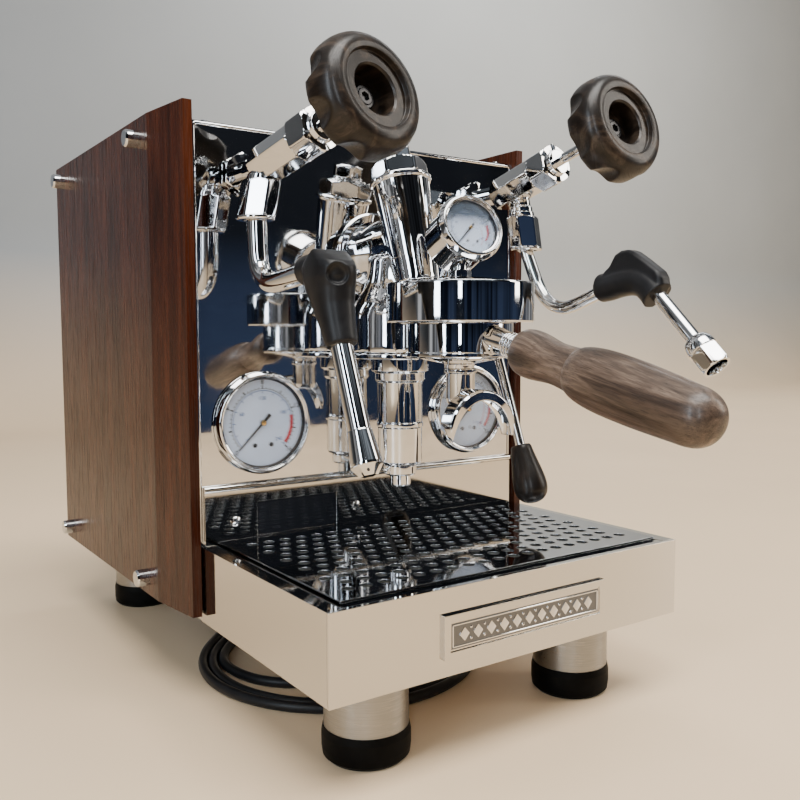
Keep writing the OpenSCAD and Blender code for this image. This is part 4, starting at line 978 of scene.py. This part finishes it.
def make_gauge(side):
    """Bezel, case, printed dial, a black ring of painted shade round the dial, and the needle's cap of one gauge."""
    r, local, small = GAUGE_R[side], GAUGES[side], side == "group"
    deep, case_r = (23, 20) if small else (24, 30)
    dial = r - 4.4
    outline = [(0, -deep), (case_r - 1, -deep, 1.5), (case_r, 2 - deep, 1.0), (case_r, -0.2, 0.3),
               (r - 0.5, -0.2, 0.5), (r, 0.6, 0.4), (r, 3.6, 2.2), (r - 1.6, 7.2, 1.0), (r - 2.9, 7.4, 0.5),
               (r - 3.5, 6.1, 0.3), (dial + 0.2, 5.9, 0.2), (dial, 5.2), (dial, 1), (0, 1)]
    case = Shape().turned(outline, local, 144)
    if small:
        stem = at((0, BELL.y, BELL.z + 27.6))
        case.turned([(0, 0), (7.6, 0), (7.6, 1.2, 0.4), (4.6, 1.8, 0.4), (4.6, 14), (0, 14)], stem, 64)
        case.nut(13, 1, 5.4, stem)
    replaced = "group_gauge_case" if small else "panel_gauge_cases"
    piece(side + "_gauge_shell", case, "case", replaced, sharp=24)

    face = 1.82
    black, blue, red = Shape(), Shape(), Shape()
    band(black, local, dial * 0.755, dial * 0.765, 0, 1, face)
    ticks(black, local, dial * 0.755, dial * 0.835, 8, dial * 0.03, face)
    ticks(black, local, dial * 0.755, dial * 0.80, 40, dial * 0.013, face)
    band(blue, local, dial * 0.712, dial * 0.727, 0, 1, face)
    ticks(blue, local, dial * 0.65, dial * 0.72, 12, dial * 0.014, face)
    band(red, local, dial * 0.68, dial * 0.75, 0.79, 0.985, face + 0.01, 30)
    for x in (-0.2, 0.2):
        black.turned([(0, 0), (dial * 0.052, 0), (dial * 0.052, 0.4), (dial * 0.03, 0.6), (0, 0.6)],
                     local @ at((x * dial, -0.50 * dial, face)), 24)
    piece(side + "_dial_scale", black, "case", look="dial_ink")
    piece(side + "_dial_inner_scale", blue, "case", look="dial_blue_ink")
    piece(side + "_dial_limit_band", red, "case", look="dial_red_ink")
    bars = (0, 2, 4, 6, 8) if small else (0, 4, 8, 12, 16)
    numbers(side + "_dial_numbers", local, bars, dial * 0.905, dial * 0.15, face, "dial_ink")
    numbers(side + "_dial_inner_numbers", local, (0, 60, 120, 180, 240), dial * 0.545, dial * 0.115, face,
            "dial_blue_ink")
    cap = Shape().turned([(0, 2.6), (dial * 0.06, 2.6), (dial * 0.06, 4.2, 0.4), (0, 4.3)], local, 32)
    piece(side + "_needle_cap", cap, side + "_needle", look="brass")
    # A black ring of painted shade in the gap between the dial and the bezel.
    rim_gap_shade = [(dial * 0.965, 1.82), (dial * 0.999, 1.82), (dial * 0.999, 5.0), (dial * 0.99, 5.0)]
    piece(side + "_dial_rim_gap_shade", Shape().turned(rim_gap_shade, local), "case", look="black_rubber")


def make_liquid_line():
    """The air space above the liquid that fills the group gauge."""
    local, dial, level = GAUGES["group"], GAUGE_R["group"] - 4.7, 8.2
    half = asin(level / dial)
    arc = [(pi - half) + (2 * half - pi) * k / 40 for k in range(41)]
    rings = [[local @ Vector((dial * cos(a), dial * sin(a), h)) for a in arc] for h in (3.9, 4.2)]
    piece("group_gauge_air_space", Shape().rings(rings), "case", look="shaded_glass")


# ---------- case details ----------

def corners_mm(node):
    return [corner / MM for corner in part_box(node)]


def make_fascia_rim():
    """The rolled edge round the top and sides of the mirror fascia, which catches the light."""
    low, high = corners_mm("fascia")
    r, bend, foot = 1.5, 2.6, low.z + 52
    left, right, top, y = low.x + r, high.x - r, high.z - r, low.y + r - 0.5
    route = [(left, y, foot)]
    for x, turn in ((left + bend, pi), (right - bend, pi / 2)):
        angles = [turn - pi / 2 * k / 6 for k in range(7)]
        route += [(x + bend * cos(a), y, top - bend + bend * sin(a)) for a in angles]
    route = [Vector(p) for p in route + [(right, y, foot)]]
    piece("fascia_rolled_edge", Shape().swept(route, r, 20), "case", sharp=50)


def make_window():
    """The dark pane behind the slot in the splash plate."""
    front = corners_mm("backsplash")[0].y + 1.6
    pane = Shape().block((-95.2, front, 107.8), (-32.8, front + 0.8, 131.2), 0.1)
    piece("splash_window_pane", pane, "case", look="dark_window", sharp=20)


def make_badge():
    """A generic ornament in the badge: a dark panel with a border round a row of pointed studs and beads."""
    low, high = corners_mm("badge_plate")
    floor, middle = low.y + 0.8, (low.z + high.z) / 2
    half_w, half_h, rib = high.x - 6.2, high.z - 6.4 - middle, 0.45
    relief = Shape()
    for x, z, wide, tall in ((0, half_h, half_w, rib), (0, -half_h, half_w, rib),
                             (half_w, 0, rib, half_h), (-half_w, 0, rib, half_h)):
        relief.block((x - wide, floor - rib, middle + z - tall), (x + wide, floor + 0.05, middle + z + tall))
    count, pitch = 11, 9.8
    bead = [(0, -0.05), (0.95, -0.05), (0.8, 0.25), (0.4, 0.42), (0, 0.45)]
    for k in range(count):
        x = (k - (count - 1) / 2) * pitch
        quarters = [(3.7 * cos(pi / 2 * n), 4.3 * sin(pi / 2 * n)) for n in range(4)]
        relief.rings([[Vector((x + u * share, floor - rise, middle + v * share)) for u, v in quarters]
                      for share, rise in ((1.0, -0.05), (0.92, 0.45), (0.45, 0.72))])
        if k < count - 1:
            for z in (-3.2, 3.2):
                relief.turned(bead, at((x + pitch / 2, floor, middle + z), ("X", 90)), 16)
    piece("badge_relief", relief, "drip_drawer", sharp=24)
    panel = Shape().block((low.x + 5.2, floor - 0.1, low.z + 5.2), (high.x - 5.2, floor + 0.05, high.z - 5.2), 0.02)
    piece("badge_panel", panel, "drip_drawer", look="badge_metal", sharp=24)


# ---------- mains cord ----------

LEAD = [(-40, 205, 36), (-40, 204, 28), (-40, 200, 19), (-40, 193, 11), (-41, 183, 6), (-43, 172, 4),
        (-47, 156, 3.6), (-54, 140, 3.6), (-63, 125, 3.6), (-74, 111, 3.6), (-87, 96, 3.6)]
TAIL = [(-99, 18, 3.6), (-90, -2, 3.6), (-74, -17, 3.6), (-54, -24, 3.6),
        (-34, -23, 3.8), (-18, -16, 5.5), (-6, -8, 8.5), (4, -1, 10.5)]
CORD_D, CORD_LENGTH_M = 7, 1.54
COIL_CENTRE = Vector((-18, 18, 3.6))
COIL_OUTER, COIL_INNER, COIL_TURNS = 103.5, 88.5, 2.0


def coil_points(steps=48):
    """The loose turns, from where the lead comes in to where the tail goes out."""
    start = atan2(82 - COIL_CENTRE.y, -98 - COIL_CENTRE.x)
    points = []
    for k in range(steps + 1):
        share = k / steps
        turn = start + 2 * pi * COIL_TURNS * share + radians(20) * share
        reach = COIL_OUTER + (COIL_INNER - COIL_OUTER) * share
        points.append(COIL_CENTRE + Vector((cos(turn), sin(turn), 0)) * reach)
    return points


def make_cord():
    """The cord as a curve: down from its gland, two loose turns on the table, and the end at the plug."""
    points = [Vector(p) for p in LEAD] + coil_points() + [Vector(p) for p in TAIL]
    data = bpy.data.curves.new("mains_cord", "CURVE")
    data.dimensions = "3D"
    data.bevel_depth = CORD_D / 2 * MM
    data.bevel_resolution = 6
    data.use_fill_caps = True
    spline = data.splines.new("NURBS")
    spline.points.add(len(points) - 1)
    for point, place in zip(spline.points, points):
        point.co = (*place * MM, 1)
    spline.order_u = 4
    spline.use_endpoint_u = True
    spline.resolution_u = 6
    data.materials.append(LOOKS["cord_sheath"].material)
    cord = link(bpy.data.objects.new("mains_cord", data))
    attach(cord, "case")
    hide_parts("cord_lead", "cord_coil")


paint_nodes()
make_camera()
make_stage()
make_light()
make_room()
make_cord()
for valve in SIDES:
    make_valve(valve)
make_steam_wand()
make_steam_grip()
make_water_wand()
make_water_grip()
make_portafilter_handle()
make_lever()
make_group()
make_portafilter()
make_spout()
for gauge in GAUGES:
    make_gauge(gauge)
make_liquid_line()
make_fascia_rim()
make_window()
make_badge()
